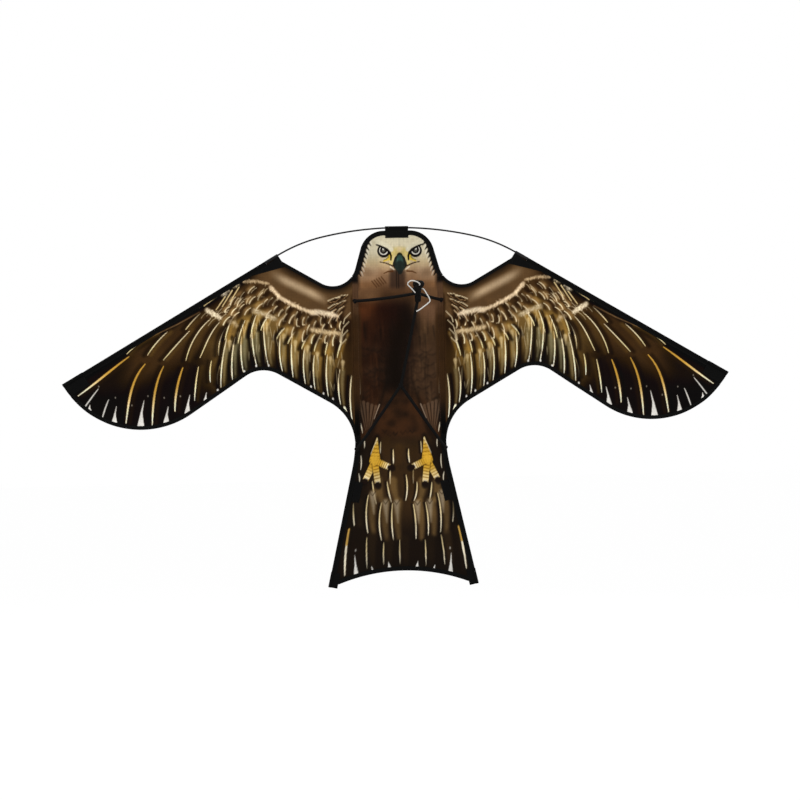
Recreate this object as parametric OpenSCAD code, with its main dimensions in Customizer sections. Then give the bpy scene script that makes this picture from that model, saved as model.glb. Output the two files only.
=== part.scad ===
// Hawk-shaped bird scarer kite, upright as it flies, with its tow loop at the origin.
// +X is the kite's left-to-right span seen from the front, +Y points behind it and +Z is up.
// Outlines are drawn in the sail's own plane, with x from the centreline and z from the tail tips.

/* [Fabric] */
// Thickness of the sail cloth with its coating
sail_t = 0.5; // [0.3:0.1:1]
// Thickness of the binding tape
tape_t = 0.4; // [0.2:0.1:0.8]
// Width of the tape on the wings' trailing edges
trailing_tape_w = 7; // [4:0.5:12]
// Width of the tape on the neck edges of the wings
neck_tape_w = 6; // [4:0.5:10]
// Width of the tape round the head
head_tape_w = 9; // [5:0.5:14]
// Width of the tape on the tail's hem
hem_tape_w = 8; // [4:0.5:14]
// Wall of the sewn rod tunnels
tunnel_wall = 0.6; // [0.4:0.1:1]
// Reach of a tunnel's sewn legs over the sail, from the rod's axis
tunnel_leg = 8; // [6:0.5:14]
// Reach of the wing root tunnels' sewn legs over the body panel
root_leg = 9; // [6:0.5:16]

/* [Rods] */
// Diameter of the wing spars
spar_d = 4; // [3:0.1:6]
// Diameter of the longerons
longeron_d = 3; // [2:0.1:4]
// Diameter of the bow rod over the head
bow_d = 3.2; // [1.5:0.1:4]
// Room of a rod in its tunnel, on the diameter
tunnel_room = 0.4; // [0.2:0.1:1]
// Room of a rod in its shoulder tube or end cap, on the diameter
grip_room = 0.2; // [0.1:0.05:0.4]
// Wall of the end caps
cap_wall = 0.6; // [0.4:0.1:1]
// Depth of a rod in its end cap
cap_depth = 10; // [5:1:20]
// Thickness of an end cap's closed end
cap_end = 2; // [1:0.5:4]

/* [Wing] */
// Angle of the spars below the horizontal
spar_angle = 30.5; // [24:0.5:36]
// Length of the leading edge, from the shoulder to the wing tip
leading_length = 482; // [420:1:560]
// Radius of the lobe at the wing tip
lobe_r = 170; // [130:1:200]
// Slope of the trailing edge inside the lobe
lobe_slope = 34; // [26:0.5:42]
// Slope of the trailing edge beside the waist
waist_slope = 30; // [24:0.5:36]
// Radius of the arch in the trailing edge
arch_r = 60; // [30:1:80]
// Radius of the trailing edge where it runs down to the waist
waist_r = 95; // [70:1:120]
// Height at which the trailing edge would meet the waist
waist_curve_z = 276; // [262:1:296]
// Gap between the wing's root edge and the tunnel that it swings round
root_gap = 0.4; // [0.3:0.1:1]
// Length of the pocket at the wing tip
tip_pocket_length = 44; // [30:1:70]
// Depth of the pocket's cloth at the wing tip
tip_pocket_depth = 24; // [12:1:60]
// Length of the shoulder patch along the spar
shoulder_patch_length = 52; // [30:1:80]
// Depth of the shoulder patch below the spar
shoulder_patch_depth = 10; // [8:1:30]

/* [Bow] */
// Height of the bow rod's axis over the head's top edge
bow_lift = 6; // [4:0.5:12]
// Radius of the bow over the head
bow_crown_r = 650; // [560:5:760]
// Half angle of the bow's crown
bow_crown_angle = 13; // [10:0.5:15]
// Radius of the bow towards the shoulders
bow_shoulder_r = 300; // [240:5:340]
// Length of a rod held in a shoulder tube
tube_grip = 14; // [8:1:24]
// Wall of the shoulder tubes
tube_wall = 0.9; // [0.6:0.1:1.5]

/* [Body] */
// Distance of the longerons from the centreline at the wing roots
hinge_x = 86; // [78:1:92]
// Corner of the neck edge, from the centreline, before it is rounded
neck_x = 97.5; // [91:0.5:104]
// Height of that corner
neck_z = 559.5; // [551:0.5:568]
// Depth of the neck edge's end below the spar, at the shoulder
shoulder_drop = 13.7; // [11:0.1:20]
// Radius of the neck edge
neck_r = 46; // [38:1:54]
// Half width of the head at its top, before its corners are rounded
head_top_x = 60.5; // [53:0.5:67]
// Height of the head's top edge
head_top_z = 689; // [660:1:740]
// Radius of the head's top corners
head_corner_r = 47; // [28:1:50]
// Width of the loop that holds the bow rod on the head
head_loop_w = 45; // [25:1:60]
// Reach of that loop below the bow rod
head_loop_reach = 20; // [14:1:30]

/* [Tail] */
// Height at which the tail's sides turn outwards
tail_bend_z = 260; // [240:1:280]
// Angle of the tail's sides
tail_angle = 12.5; // [8:0.5:16]
// Radius of the longerons at that bend
tail_bend_r = 300; // [200:10:500]
// Rise of the hem at the centre of the tail
hem_rise = 29; // [10:1:45]
// Length of the pockets at the tail tips
tail_pocket_length = 30; // [20:1:50]
// Depth of the cloth of those pockets
tail_pocket_depth = 15; // [10:1:45]
// Height of the upper edge of the patches on the tail's sides
tail_patch_z = 206; // [180:1:225]
// Length of those patches
tail_patch_length = 40; // [20:1:60]
// Width of those patches
tail_patch_w = 15; // [8:1:24]

/* [Bridle] */
// Diameter of the black bridle cord
bridle_d = 6; // [1.8:0.1:8]
// Diameter of the white tow cord
tow_d = 2.2; // [1.5:0.1:3]
// Diameter of the small knots of the bridle, on the longerons and at its fork
tie_d = 10; // [4.6:0.1:14]
// Height of the upper ties
upper_tie_z = 553; // [530:1:575]
// Height of the lower ties
lower_tie_z = 266; // [255:1:285]
// Diameter of the tow knot
tow_knot_d = 13; // [8:0.5:18]
// Length of the tow knot
tow_knot_length = 34; // [24:1:44]

/* [Hidden] */
$fn = 48;
arc_steps = 16;
cord_sides = 8;
rod_sides = 16;
cut_extra = 1;
small_gap = 0.3;

// Fits and seams
fold_t = sail_t + 2 * tape_t;
spar_bore = spar_d + tunnel_room;
longeron_bore = longeron_d + tunnel_room;
spar_cap_d = spar_d + grip_room + 2 * cap_wall;
longeron_cap_d = longeron_d + grip_room + 2 * cap_wall;
tip_bore = spar_cap_d + tunnel_room;
tail_bore = longeron_cap_d + tunnel_room;
tip_r = tip_bore / 2 + tunnel_wall;
tail_tip_r = tail_bore / 2 + tunnel_wall;
root_tunnel_r = longeron_bore / 2 + tunnel_wall;
spar_edge = tip_r + small_gap;
longeron_edge = tail_tip_r + small_gap;
root_x = hinge_x + root_tunnel_r + root_gap;
tube_d = spar_d + grip_room + 2 * tube_wall;

// Plain geometry in the sail's plane
function unit(v) = v / norm(v);
function right_of(v) = [v[1], -v[0]];
function heading(a) = [cos(a), sin(a)];
function arc(c, r, a0, a1) = [for (i = [0 : arc_steps]) c + r * heading(a0 + (a1 - a0) * i / arc_steps)];
function mirror_x(p) = [for (i = [len(p) - 1 : -1 : 0]) [-p[i][0], p[i][1]]];
function backwards(p) = [for (i = [len(p) - 1 : -1 : 0]) p[i]];
function cross2(a, b) = a[0] * b[1] - a[1] * b[0];
function meeting(p, u, q, v) = p + u * cross2(q - p, v) / cross2(u, v);
function bearing(v) = atan2(v[1], v[0]);
function turn(a0, a1) = (a1 - a0) - 360 * round((a1 - a0) / 360);

// Centre of the circle of radius r that rounds a corner, and the round itself
function round_half(prev, corner, next) = acos(unit(prev - corner) * unit(next - corner)) / 2;
function round_centre(prev, corner, next, r) =
    corner + unit(unit(prev - corner) + unit(next - corner)) * r / sin(round_half(prev, corner, next));
function round_start(prev, corner, next, r) =
    corner + unit(prev - corner) * r / tan(round_half(prev, corner, next));
function rounded(prev, corner, next, r) =
    let (
        c = round_centre(prev, corner, next, r),
        a0 = bearing(round_start(prev, corner, next, r) - c),
        a1 = bearing(round_start(next, corner, prev, r) - c)
    )
    arc(c, r, a0, a0 + turn(a0, a1));

// A line of points moved to its right, which is into the cloth on every edge here
function tangent(p, i) = unit(p[min(i + 1, len(p) - 1)] - p[max(i - 1, 0)]);
function moved(p, d) = [for (i = [0 : len(p) - 1]) p[i] + d * right_of(tangent(p, i))];
function lengthened(p, d) =
    concat(
        [p[0] - d * tangent(p, 0)],
        p,
        [p[len(p) - 1] + d * tangent(p, len(p) - 1)]
    );

// Part of a line of points beyond a given x, which it crosses once
function crossing(a, b, x) = a + (b - a) * (x - a[0]) / (b[0] - a[0]);
function beyond(p, x) =
    let (i = [for (k = [0 : len(p) - 2]) if (p[k][0] <= x && p[k + 1][0] > x) k][0])
    concat([crossing(p[i], p[i + 1], x)], [for (k = [i + 1 : len(p) - 1]) p[k]]);

// Bow rod, whose ends lie in line with the spars
bow_crown_z = head_top_z + bow_lift;
crown_centre = [0, bow_crown_z - bow_crown_r];
bend_centre = crown_centre + (bow_crown_r - bow_shoulder_r) * heading(90 - bow_crown_angle);
shoulder = bend_centre + bow_shoulder_r * heading(90 - spar_angle);
bow_bend_x = bow_crown_r * sin(bow_crown_angle) + small_gap;

// Spar's line, with s along it from the shoulder and n into the sail
spar_dir = heading(-spar_angle);
spar_in = right_of(spar_dir);
function on_spar(s, n) = shoulder + s * spar_dir + n * spar_in;
tube_end = 2 * tube_grip + small_gap;
tip_pocket_start = leading_length - tip_pocket_length;
spar_end = leading_length - tunnel_wall - small_gap - cap_end;

// Trailing edge, from the wing tip to the waist
tip = on_spar(leading_length, spar_edge);
lobe_centre = on_spar(leading_length - lobe_r, spar_edge);
lobe_end_angle = -90 - lobe_slope;
lobe_end = lobe_centre + lobe_r * heading(lobe_end_angle);
waist_centre = [hinge_x + root_tunnel_r + waist_r, waist_curve_z];
waist_start_angle = 90 + waist_slope;
waist_start = waist_centre + waist_r * heading(waist_start_angle);
arch_corner = meeting(lobe_end, heading(180 - lobe_slope), waist_start, heading(waist_slope));
waist_end_angle = acos((root_x - waist_centre[0]) / (waist_r + trailing_tape_w));
arch_room = min(norm(lobe_end - arch_corner), norm(waist_start - arch_corner)) - small_gap;
arch_fit_r = min(arch_r, arch_room * tan(round_half(lobe_end, arch_corner, waist_start)));
trailing_edge = concat(
    arc(lobe_centre, lobe_r, -spar_angle, lobe_end_angle),
    rounded(lobe_end, arch_corner, waist_start, arch_fit_r),
    arc(waist_centre, waist_r, waist_start_angle, waist_end_angle)
);

// Neck edge, from the wing's root to the shoulder
head_top = [head_top_x, head_top_z];
neck = [neck_x, neck_z];
shoulder_low = on_spar(0, shoulder_drop);
neck_dir = unit(shoulder_low - neck);
neck_line = concat([head_top], rounded(head_top, neck, shoulder_low, neck_r), [shoulder_low]);
neck_edge = beyond(neck_line, root_x);
neck_root = neck_edge[0];
wing_outline = concat(
    neck_edge,
    [on_spar(0, spar_edge)],
    trailing_edge,
    [[root_x, trailing_edge[len(trailing_edge) - 1][1]]]
);

// Head, from its right foot to its top corner
body_x = hinge_x - longeron_edge;
root_top_z = neck_root[1] + tape_t + small_gap;
head_side = unit(head_top - neck);
head_foot_z = root_top_z + small_gap - head_tape_w * head_side[0];
head_foot = neck + head_side * (head_foot_z - neck_z) / head_side[1];
head_round = rounded([0, head_top_z], head_top, neck, head_corner_r);
head_edge = concat(mirror_x(concat(head_round, [head_foot])), head_round, [head_foot]);

// Longeron's line at the tail, with s down it from the bend and n into the sail
tail_dir = heading(tail_angle - 90);
tail_in = right_of(tail_dir);
bend_centre_x = hinge_x + tail_bend_r;
bend_top_z = tail_bend_z + tail_bend_r * tan(tail_angle / 2);
tail_start = [bend_centre_x, bend_top_z] + tail_bend_r * heading(180 + tail_angle);
tail_length = tail_start[1] / cos(tail_angle);
function on_tail(s, n) = tail_start + s * tail_dir + n * tail_in;
tail_pocket_start = tail_length - tail_pocket_length;
longeron_end = tail_length - tunnel_wall - small_gap - cap_end;
longeron_top_z = root_top_z - cap_end - small_gap;

// Hem of the tail, from the right corner to the left one
tail_corner = on_tail(tail_length, longeron_edge);
hem_r = (pow(tail_corner[0], 2) + pow(hem_rise, 2)) / (2 * hem_rise);
hem_centre = [0, tail_corner[1] + hem_rise - hem_r];
hem_half_angle = asin(tail_corner[0] / hem_r);
hem_edge = arc(hem_centre, hem_r, 90 - hem_half_angle, 90 + hem_half_angle);
body_side = concat(
    head_round,
    [head_foot, [body_x, head_foot_z], [body_x, bend_top_z]],
    arc([bend_centre_x, bend_top_z], tail_bend_r + longeron_edge, 180, 180 + tail_angle),
    [tail_corner]
);
body_outline = concat(mirror_x(body_side), body_side, hem_edge);

// Bridle points by hand: x from the centreline, y behind the sail's middle, z from the tail tips
tow_knot_foot = [33, -87, 543];
bridle_fork = [0, -42, 388];
tow_loop_route = [
    [31, -93, 557], [26, -97, 562], [20, -103, 568], [14, -110, 573], [13, -117, 576], [16, -123, 579],
    [21, -126, 580], [27, -122, 579], [32, -113, 578], [36, -103, 576], [36, -96, 573]
];
tow_tail_route = [
    [37, -91, 566], [42, -91, 568], [46, -92, 564], [50, -92, 557], [54, -93, 550], [55, -95, 544],
    [50, -97, 539], [42, -98, 533], [35, -98, 528], [29, -98, 525]
];
// The tow line bears on the middle of the loop's front
tow_point = [21, -126 + tow_d / 2, 580];
tow_knot_head = tow_knot_foot + [0, -6, tow_knot_length];
tow_knot_middle = (tow_knot_foot + tow_knot_head) / 2;
tie_y = -(root_tunnel_r + tie_d / 2);
tie_x = hinge_x - root_tunnel_r;
lower_tie_x = hinge_x;
upper_tie = [tie_x, tie_y, upper_tie_z];
lower_tie = [lower_tie_x, tie_y - tail_tip_r + root_tunnel_r, lower_tie_z];

// Bent rods: routes in the sail's plane
bow_end = on_spar(tube_grip - small_gap, 0);
bow_bend = arc(bend_centre, bow_shoulder_r, 90 - bow_crown_angle, 90 - spar_angle);
bow_side = concat(
    arc(crown_centre, bow_crown_r, 90, 90 - bow_crown_angle),
    [for (p = bow_bend) if (p[0] > bow_bend_x) p],
    [bow_end]
);
bow_route = concat([for (p = mirror_x(bow_side)) if (p[0] < 0) p], bow_side);
longeron_route = concat(
    [[hinge_x, longeron_top_z]],
    arc([bend_centre_x, bend_top_z], tail_bend_r, 180, 180 + tail_angle),
    [on_tail(longeron_end, 0)]
);

// Cords and rods: rings of points along a route, with a small sag towards the ground on a cord
function flip_x(p) = [-p[0], p[1], p[2]];
function span_point(a, b, t, sag) = a + (b - a) * t - [0, 0, 4 * sag * t * (1 - t)];
function span(a, b, sag, steps) = [for (i = [0 : steps]) span_point(a, b, i / steps, sag)];
function along(p, i) = unit(p[min(i + 1, len(p) - 1)] - p[max(i - 1, 0)]);
function square_to(v, t) = unit(v - (v * t) * t);
function carried(p, i) =
    i == 0 ? square_to(cross(along(p, 0), [0.31, 0.87, 0.38]), along(p, 0))
           : square_to(carried(p, i - 1), along(p, i));
function ring(p, i, r, sides) =
    let (t = along(p, i), u = carried(p, i), w = cross(t, u))
    [for (k = [0 : sides - 1])
        p[i] + r * (u * cos(360 * k / sides) + w * sin(360 * k / sides))];
function in_sail(p) = [for (q = p) [q[0], 0, q[1]]];

// The row's frame has the tow loop at its origin
module placed() { translate(-tow_point) children(); }
module left() { mirror([1, 0, 0]) children(); }

// Cloth shapes drawn in the sail's plane stand upright
module upright(t) { rotate([90, 0, 0]) linear_extrude(t, center = true) children(); }

// Local z along a rod's line and local x into the sail
module on_line(p, a) { translate([p[0], 0, p[1]]) rotate([0, 90 - a, 0]) children(); }
module spar_frame(s) { on_line(on_spar(s, 0), -spar_angle) children(); }
module tail_frame(s) { on_line(on_tail(s, 0), tail_angle - 90) children(); }

// Ring swept about the y direction through a point of the sail's plane
module bend(c, r, a0, a1) {
    translate([c[0], 0, c[1]])
        rotate([90, 0, 0])
            rotate([0, 0, a0])
                rotate_extrude(angle = a1 - a0, $fn = 96)
                    translate([r, 0])
                        children();
}

// Folded tape over an edge of cloth
module tape(edge, w) {
    cut_edge = lengthened(edge, cut_extra);
    difference() {
        upright(fold_t) polygon(concat(moved(edge, -tape_t), backwards(moved(edge, w))));
        upright(sail_t) polygon(concat(cut_edge, backwards(moved(cut_edge, w + cut_extra))));
    }
}

// Straight rod tunnel with two legs sewn over the sail
module tunnel(bore, leg, length) {
    r = bore / 2 + tunnel_wall;
    difference() {
        union() {
            cylinder(h = length, r = r);
            translate([0, -fold_t / 2, 0]) cube([leg, fold_t, length]);
        }
        translate([0, 0, -cut_extra]) cylinder(h = length + 2 * cut_extra, d = bore);
        translate([r, -sail_t / 2, -cut_extra]) cube([leg, sail_t, length + 2 * cut_extra]);
    }
}

// Rod end cap, with its closed end up
module end_cap(rod_d) {
    bore = rod_d + grip_room;
    difference() {
        cylinder(h = cap_depth + cap_end, d = bore + 2 * cap_wall);
        translate([0, 0, -cut_extra]) cylinder(h = cap_depth + cut_extra, d = bore);
    }
}

// Box in a rod's frame that reaches into the cloth from its line, and as far out of it
module line_box(depth, length, extra) {
    translate([-depth, -spar_d * 3, -extra]) cube([2 * depth + extra, spar_d * 6, length + 2 * extra]);
}

// Pocket's cloth: the part of the folded cloth inside the children's box
module pocket_cloth(outline) {
    difference() {
        intersection() {
            upright(fold_t) polygon(moved(outline, -tape_t));
            children();
        }
        upright(sail_t) polygon(outline);
    }
}

// Blind tunnel that holds a capped rod end
module blind_tunnel(bore, length) {
    difference() {
        cylinder(h = length, d = bore + 2 * tunnel_wall);
        translate([0, 0, -cut_extra]) cylinder(h = length - tunnel_wall + cut_extra, d = bore);
    }
}

// Cord or bent rod of round section along a route
module round_bar(route, d, sides) {
    rings = len(route);
    points = [for (i = [0 : rings - 1]) each ring(route, i, d / 2, sides)];
    walls = [
        for (i = [0 : rings - 2], k = [0 : sides - 1])
            let (a = i * sides + k, b = i * sides + (k + 1) % sides)
            each [[a, a + sides, b], [b, a + sides, b + sides]]
    ];
    last = (rings - 1) * sides;
    ends = [
        for (k = [1 : sides - 2])
            each [[0, k, k + 1], [last, last + k + 1, last + k]]
    ];
    polyhedron(points = points, faces = concat(walls, ends));
}

module cord(route, d) { round_bar(route, d, cord_sides); }

// Tied knot: a short barrel with round ends
module knot(d, length) {
    foot = arc([0, d / 2], d / 2, -90, 0);
    head = arc([0, length - d / 2], d / 2, 0, 90);
    rotate_extrude() polygon(concat(foot, head));
}

module body_panel() {
    color("saddlebrown") upright(sail_t) polygon(body_outline);
}

module head_binding() {
    color("black") tape(head_edge, head_tape_w);
}

// Cloth loop sewn over the head's tape, with the bow rod through its top
module head_loop() {
    bore = bow_d + 2 * tunnel_room + 2 * small_gap;
    slot_length = head_loop_reach - bore / 2 - tunnel_wall;
    color("black")
        translate([-head_loop_w / 2, 0, bow_crown_z])
            difference() {
                union() {
                    rotate([0, 90, 0]) cylinder(h = head_loop_w, d = bore + 2 * tunnel_wall);
                    translate([0, -fold_t / 2 - tape_t, -head_loop_reach])
                        cube([head_loop_w, fold_t + 2 * tape_t, head_loop_reach]);
                }
                translate([-cut_extra, 0, 0])
                    rotate([0, 90, 0]) cylinder(h = head_loop_w + 2 * cut_extra, d = bore);
                translate([-cut_extra, -fold_t / 2, -head_loop_reach - cut_extra])
                    cube([head_loop_w + 2 * cut_extra, fold_t, slot_length + cut_extra]);
            }
}

// Space of a tail pocket, cut out of what ends beside it
module tail_pocket_box(extra) {
    tail_frame(tail_pocket_start) line_box(tail_pocket_depth, tail_pocket_length * 2, extra);
}

module tail_hem() {
    color("black")
        difference() {
            tape(hem_edge, hem_tape_w);
            tail_pocket_box(small_gap);
            left() tail_pocket_box(small_gap);
        }
}

// One springy rod from shoulder tube to shoulder tube, over the head
module bow_rod() {
    color("black") round_bar(in_sail(bow_route), bow_d, rod_sides);
}

module root_tunnel() {
    color("sienna")
        on_line([hinge_x, root_top_z], -90)
            tunnel(longeron_bore, root_leg, root_top_z - bend_top_z - small_gap);
}

// Tunnel round the bend of the longeron at the waist
module waist_tunnel() {
    c = [bend_centre_x, bend_top_z];
    end_angle = 180 + tail_angle;
    slack = 1;
    color("black")
        difference() {
            union() {
                bend(c, tail_bend_r, 180, end_angle) circle(r = root_tunnel_r);
                bend(c, tail_bend_r, 180, end_angle)
                    translate([0, -fold_t / 2]) square([tunnel_leg, fold_t]);
            }
            bend(c, tail_bend_r, 180 - slack, end_angle + slack) circle(d = longeron_bore);
            bend(c, tail_bend_r, 180 - slack, end_angle + slack)
                translate([root_tunnel_r, -sail_t / 2]) square([tunnel_leg, sail_t]);
        }
}

// Tunnel down the tail's side
module tail_tunnel() {
    color("black")
        tail_frame(small_gap) tunnel(longeron_bore, tunnel_leg, tail_pocket_start - 2 * small_gap);
}

module longeron() {
    color("dimgray") round_bar(in_sail(longeron_route), longeron_d, rod_sides);
}

module longeron_tail_cap() {
    tail_frame(longeron_end - cap_depth) end_cap(longeron_d);
}

module longeron_caps() {
    color("dimgray") {
        longeron_tail_cap();
        left() longeron_tail_cap();
    }
}

// Folded pocket with a square end that hangs below the hem
module tail_pocket() {
    fold_edge = longeron_edge - tape_t;
    color("black") {
        difference() {
            tail_frame(tail_pocket_start)
                translate([fold_edge, -fold_t / 2, 0])
                    cube([tail_pocket_depth - fold_edge, fold_t, tail_pocket_length]);
            upright(sail_t) polygon(body_outline);
        }
        tail_frame(tail_pocket_start) blind_tunnel(tail_bore, tail_pocket_length);
    }
}

// Patch sewn on the sail's front beside the tail tunnel
module tail_patch() {
    s = (tail_start[1] - tail_patch_z) / cos(tail_angle);
    color("black")
        tail_frame(s)
            translate([tunnel_leg + small_gap, -fold_t / 2, 0])
                cube([tail_patch_w, tape_t, tail_patch_length]);
}

module tie(p) {
    translate(p) sphere(d = tie_d);
}

module upper_ties() {
    color("black") {
        tie(upper_tie);
        tie(flip_x(upper_tie));
    }
}

module lower_ties() {
    color("black") {
        tie(lower_tie);
        tie(flip_x(lower_tie));
    }
}

module fork_knot() {
    color("black") tie(bridle_fork);
}

module tow_knot() {
    lean = atan2(tow_knot_foot[1] - tow_knot_head[1], tow_knot_head[2] - tow_knot_foot[2]);
    color("black") translate(tow_knot_foot) rotate([lean, 0, 0]) knot(tow_knot_d, tow_knot_length);
}

module tow_loop() {
    color("white") cord(tow_loop_route, tow_d);
}

module tow_tail() {
    color("white") cord(tow_tail_route, tow_d);
}

module upper_bridle_left() {
    color("black") cord(span(flip_x(upper_tie), tow_knot_middle, 2, 8), bridle_d);
}

module upper_bridle_right() {
    color("black") cord(span(upper_tie, tow_knot_middle, 1, 6), bridle_d);
}

module bridle_stem() {
    color("black") cord(span(tow_knot_foot + [0, 0, bridle_d], bridle_fork, 1, 8), bridle_d);
}

module lower_bridle_left() {
    color("black") cord(span(bridle_fork, flip_x(lower_tie), 1, 8), bridle_d);
}

module lower_bridle_right() {
    color("black") cord(span(bridle_fork, lower_tie, 1, 8), bridle_d);
}

module wing_panel() {
    color("saddlebrown") upright(sail_t) polygon(wing_outline);
}

module spar_tunnel() {
    color("black")
        spar_frame(tube_end) tunnel(spar_bore, tunnel_leg, tip_pocket_start - small_gap - tube_end);
}

module spar() {
    color("dimgray") spar_frame(tube_grip) cylinder(h = spar_end - tube_grip, d = spar_d);
}

module tip_cap() {
    color("dimgray") spar_frame(spar_end - cap_depth) end_cap(spar_d);
}

module tip_pocket() {
    color("black") {
        pocket_cloth(wing_outline)
            spar_frame(tip_pocket_start) line_box(tip_pocket_depth, tip_pocket_length * 2, 0);
        spar_frame(tip_pocket_start) blind_tunnel(tip_bore, tip_pocket_length);
    }
}

// Tube that takes the bow rod at one end and the spar at the other
module shoulder_tube() {
    color("black")
        spar_frame(0)
            difference() {
                cylinder(h = 2 * tube_grip, d = tube_d);
                translate([0, 0, -cut_extra])
                    cylinder(h = 2 * tube_grip + 2 * cut_extra, d = bow_d + grip_room);
                translate([0, 0, tube_grip]) cylinder(h = tube_grip + cut_extra, d = spar_d + grip_room);
            }
}

// Patch sewn on the sail's front below the shoulder, between the tunnel and the neck tape
module shoulder_patch() {
    n = tunnel_leg + small_gap;
    tape_side = neck + (neck_tape_w + small_gap) * right_of(neck_dir);
    start = meeting(tape_side, neck_dir, on_spar(0, n), spar_dir);
    color("black")
        translate([0, -(sail_t + tape_t) / 2, 0])
            upright(tape_t)
                polygon([
                    start,
                    start + shoulder_patch_length * spar_dir,
                    start - 2 * shoulder_patch_depth * neck_dir
                ]);
}

module neck_binding() {
    color("black")
        difference() {
            tape(neck_edge, neck_tape_w);
            spar_frame(-tube_grip) line_box(tunnel_leg, leading_length, small_gap);
            translate([0, -fold_t, 0]) cube([root_x + tape_t, 2 * fold_t, head_top_z]);
        }
}

module trailing_binding() {
    color("black")
        difference() {
            tape(trailing_edge, trailing_tape_w);
            spar_frame(tip_pocket_start) line_box(tip_pocket_depth, tip_pocket_length * 2, small_gap);
        }
}

placed() body_panel();
placed() head_binding();
placed() head_loop();
placed() tail_hem();
placed() bow_rod();
placed() left() root_tunnel();  // left_root_tunnel
placed() root_tunnel();  // right_root_tunnel
placed() left() waist_tunnel();  // left_waist_tunnel
placed() waist_tunnel();  // right_waist_tunnel
placed() left() tail_tunnel();  // left_tail_tunnel
placed() tail_tunnel();  // right_tail_tunnel
placed() left() longeron();  // left_longeron
placed() longeron();  // right_longeron
placed() longeron_caps();
placed() left() tail_pocket();  // left_tail_pocket
placed() tail_pocket();  // right_tail_pocket
placed() left() tail_patch();  // left_tail_patch
placed() tail_patch();  // right_tail_patch
placed() upper_ties();
placed() lower_ties();
placed() fork_knot();
placed() tow_knot();
placed() tow_loop();
placed() tow_tail();
placed() upper_bridle_left();
placed() upper_bridle_right();
placed() bridle_stem();
placed() lower_bridle_left();
placed() lower_bridle_right();
placed() left() wing_panel();  // left_wing_panel
placed() wing_panel();  // right_wing_panel
placed() left() spar_tunnel();  // left_spar_tunnel
placed() spar_tunnel();  // right_spar_tunnel
placed() left() spar();  // left_spar
placed() spar();  // right_spar
placed() left() tip_cap();  // left_tip_cap
placed() tip_cap();  // right_tip_cap
placed() left() tip_pocket();  // left_tip_pocket
placed() tip_pocket();  // right_tip_pocket
placed() left() shoulder_tube();  // left_shoulder_tube
placed() shoulder_tube();  // right_shoulder_tube
placed() left() shoulder_patch();  // left_shoulder_patch
placed() shoulder_patch();  // right_shoulder_patch
placed() left() neck_binding();  // left_neck_binding
placed() neck_binding();  // right_neck_binding
placed() left() trailing_binding();  // left_trailing_binding
placed() trailing_binding();  // right_trailing_binding
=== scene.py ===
"""Looks of a hawk-shaped bird scarer kite: printed sail, sewn tapes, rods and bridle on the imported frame."""

import math

import bmesh
import bpy
import numpy as np
from mathutils import Matrix, Vector

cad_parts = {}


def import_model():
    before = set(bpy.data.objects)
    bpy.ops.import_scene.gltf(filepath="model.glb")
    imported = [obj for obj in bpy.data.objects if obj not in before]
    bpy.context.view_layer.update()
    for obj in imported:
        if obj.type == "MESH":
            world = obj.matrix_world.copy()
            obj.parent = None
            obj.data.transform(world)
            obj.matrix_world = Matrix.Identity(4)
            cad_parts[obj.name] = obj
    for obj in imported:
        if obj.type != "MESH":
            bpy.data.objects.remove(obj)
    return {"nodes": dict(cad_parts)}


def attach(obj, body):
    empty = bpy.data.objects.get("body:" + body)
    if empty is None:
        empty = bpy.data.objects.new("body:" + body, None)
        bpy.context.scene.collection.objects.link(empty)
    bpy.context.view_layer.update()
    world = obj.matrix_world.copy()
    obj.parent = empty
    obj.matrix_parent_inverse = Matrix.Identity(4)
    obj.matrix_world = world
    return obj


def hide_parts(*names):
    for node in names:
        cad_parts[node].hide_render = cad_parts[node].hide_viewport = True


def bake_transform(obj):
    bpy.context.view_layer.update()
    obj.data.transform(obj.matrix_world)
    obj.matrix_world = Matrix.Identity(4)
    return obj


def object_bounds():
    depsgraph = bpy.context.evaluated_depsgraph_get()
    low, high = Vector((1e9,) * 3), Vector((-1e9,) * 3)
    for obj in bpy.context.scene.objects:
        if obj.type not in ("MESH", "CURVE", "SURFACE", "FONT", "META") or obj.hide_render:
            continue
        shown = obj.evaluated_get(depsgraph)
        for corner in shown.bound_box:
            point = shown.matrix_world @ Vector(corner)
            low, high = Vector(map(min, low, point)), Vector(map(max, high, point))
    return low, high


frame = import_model()
CAD_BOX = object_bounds()

# Kite coordinates are millimetres: x from the centreline, y behind the sail, z up from the tail tips.
# The row's frame has the front of the tow loop at its origin.
MM = 0.001
TOW_POINT = np.array([21.0, -124.9, 580.0])
SIDES = (("left", -1), ("right", 1))

# Cloth, tapes and sewn tunnels
SAIL_T = 0.5
TAPE_T = 0.4
FOLD_T = SAIL_T + 2 * TAPE_T
TUNNEL_WALL = 0.6
TUNNEL_LEG = 8.0
ROOT_LEG = 9.0
TRAILING_TAPE_W = 7.0
NECK_TAPE_W = 6.0
HEAD_TAPE_W = 9.0
HEAD_TAPE_X = 89.2
HEM_TAPE_W = 8.0
GAP = 0.3

# Rods and the spaces that hold them
SPAR_BORE_R = 2.2
LONGERON_BORE_R = 1.7
TIP_R = 3.5
TAIL_TIP_R = 3.0
BOW_R = 1.6
HEAD_LOOP_R = 2.3
SPAR_EDGE = TIP_R + GAP
LONGERON_EDGE = TAIL_TIP_R + GAP
TUBE_LENGTH = 28.0
TUBE_EDGE = 2.6

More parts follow.
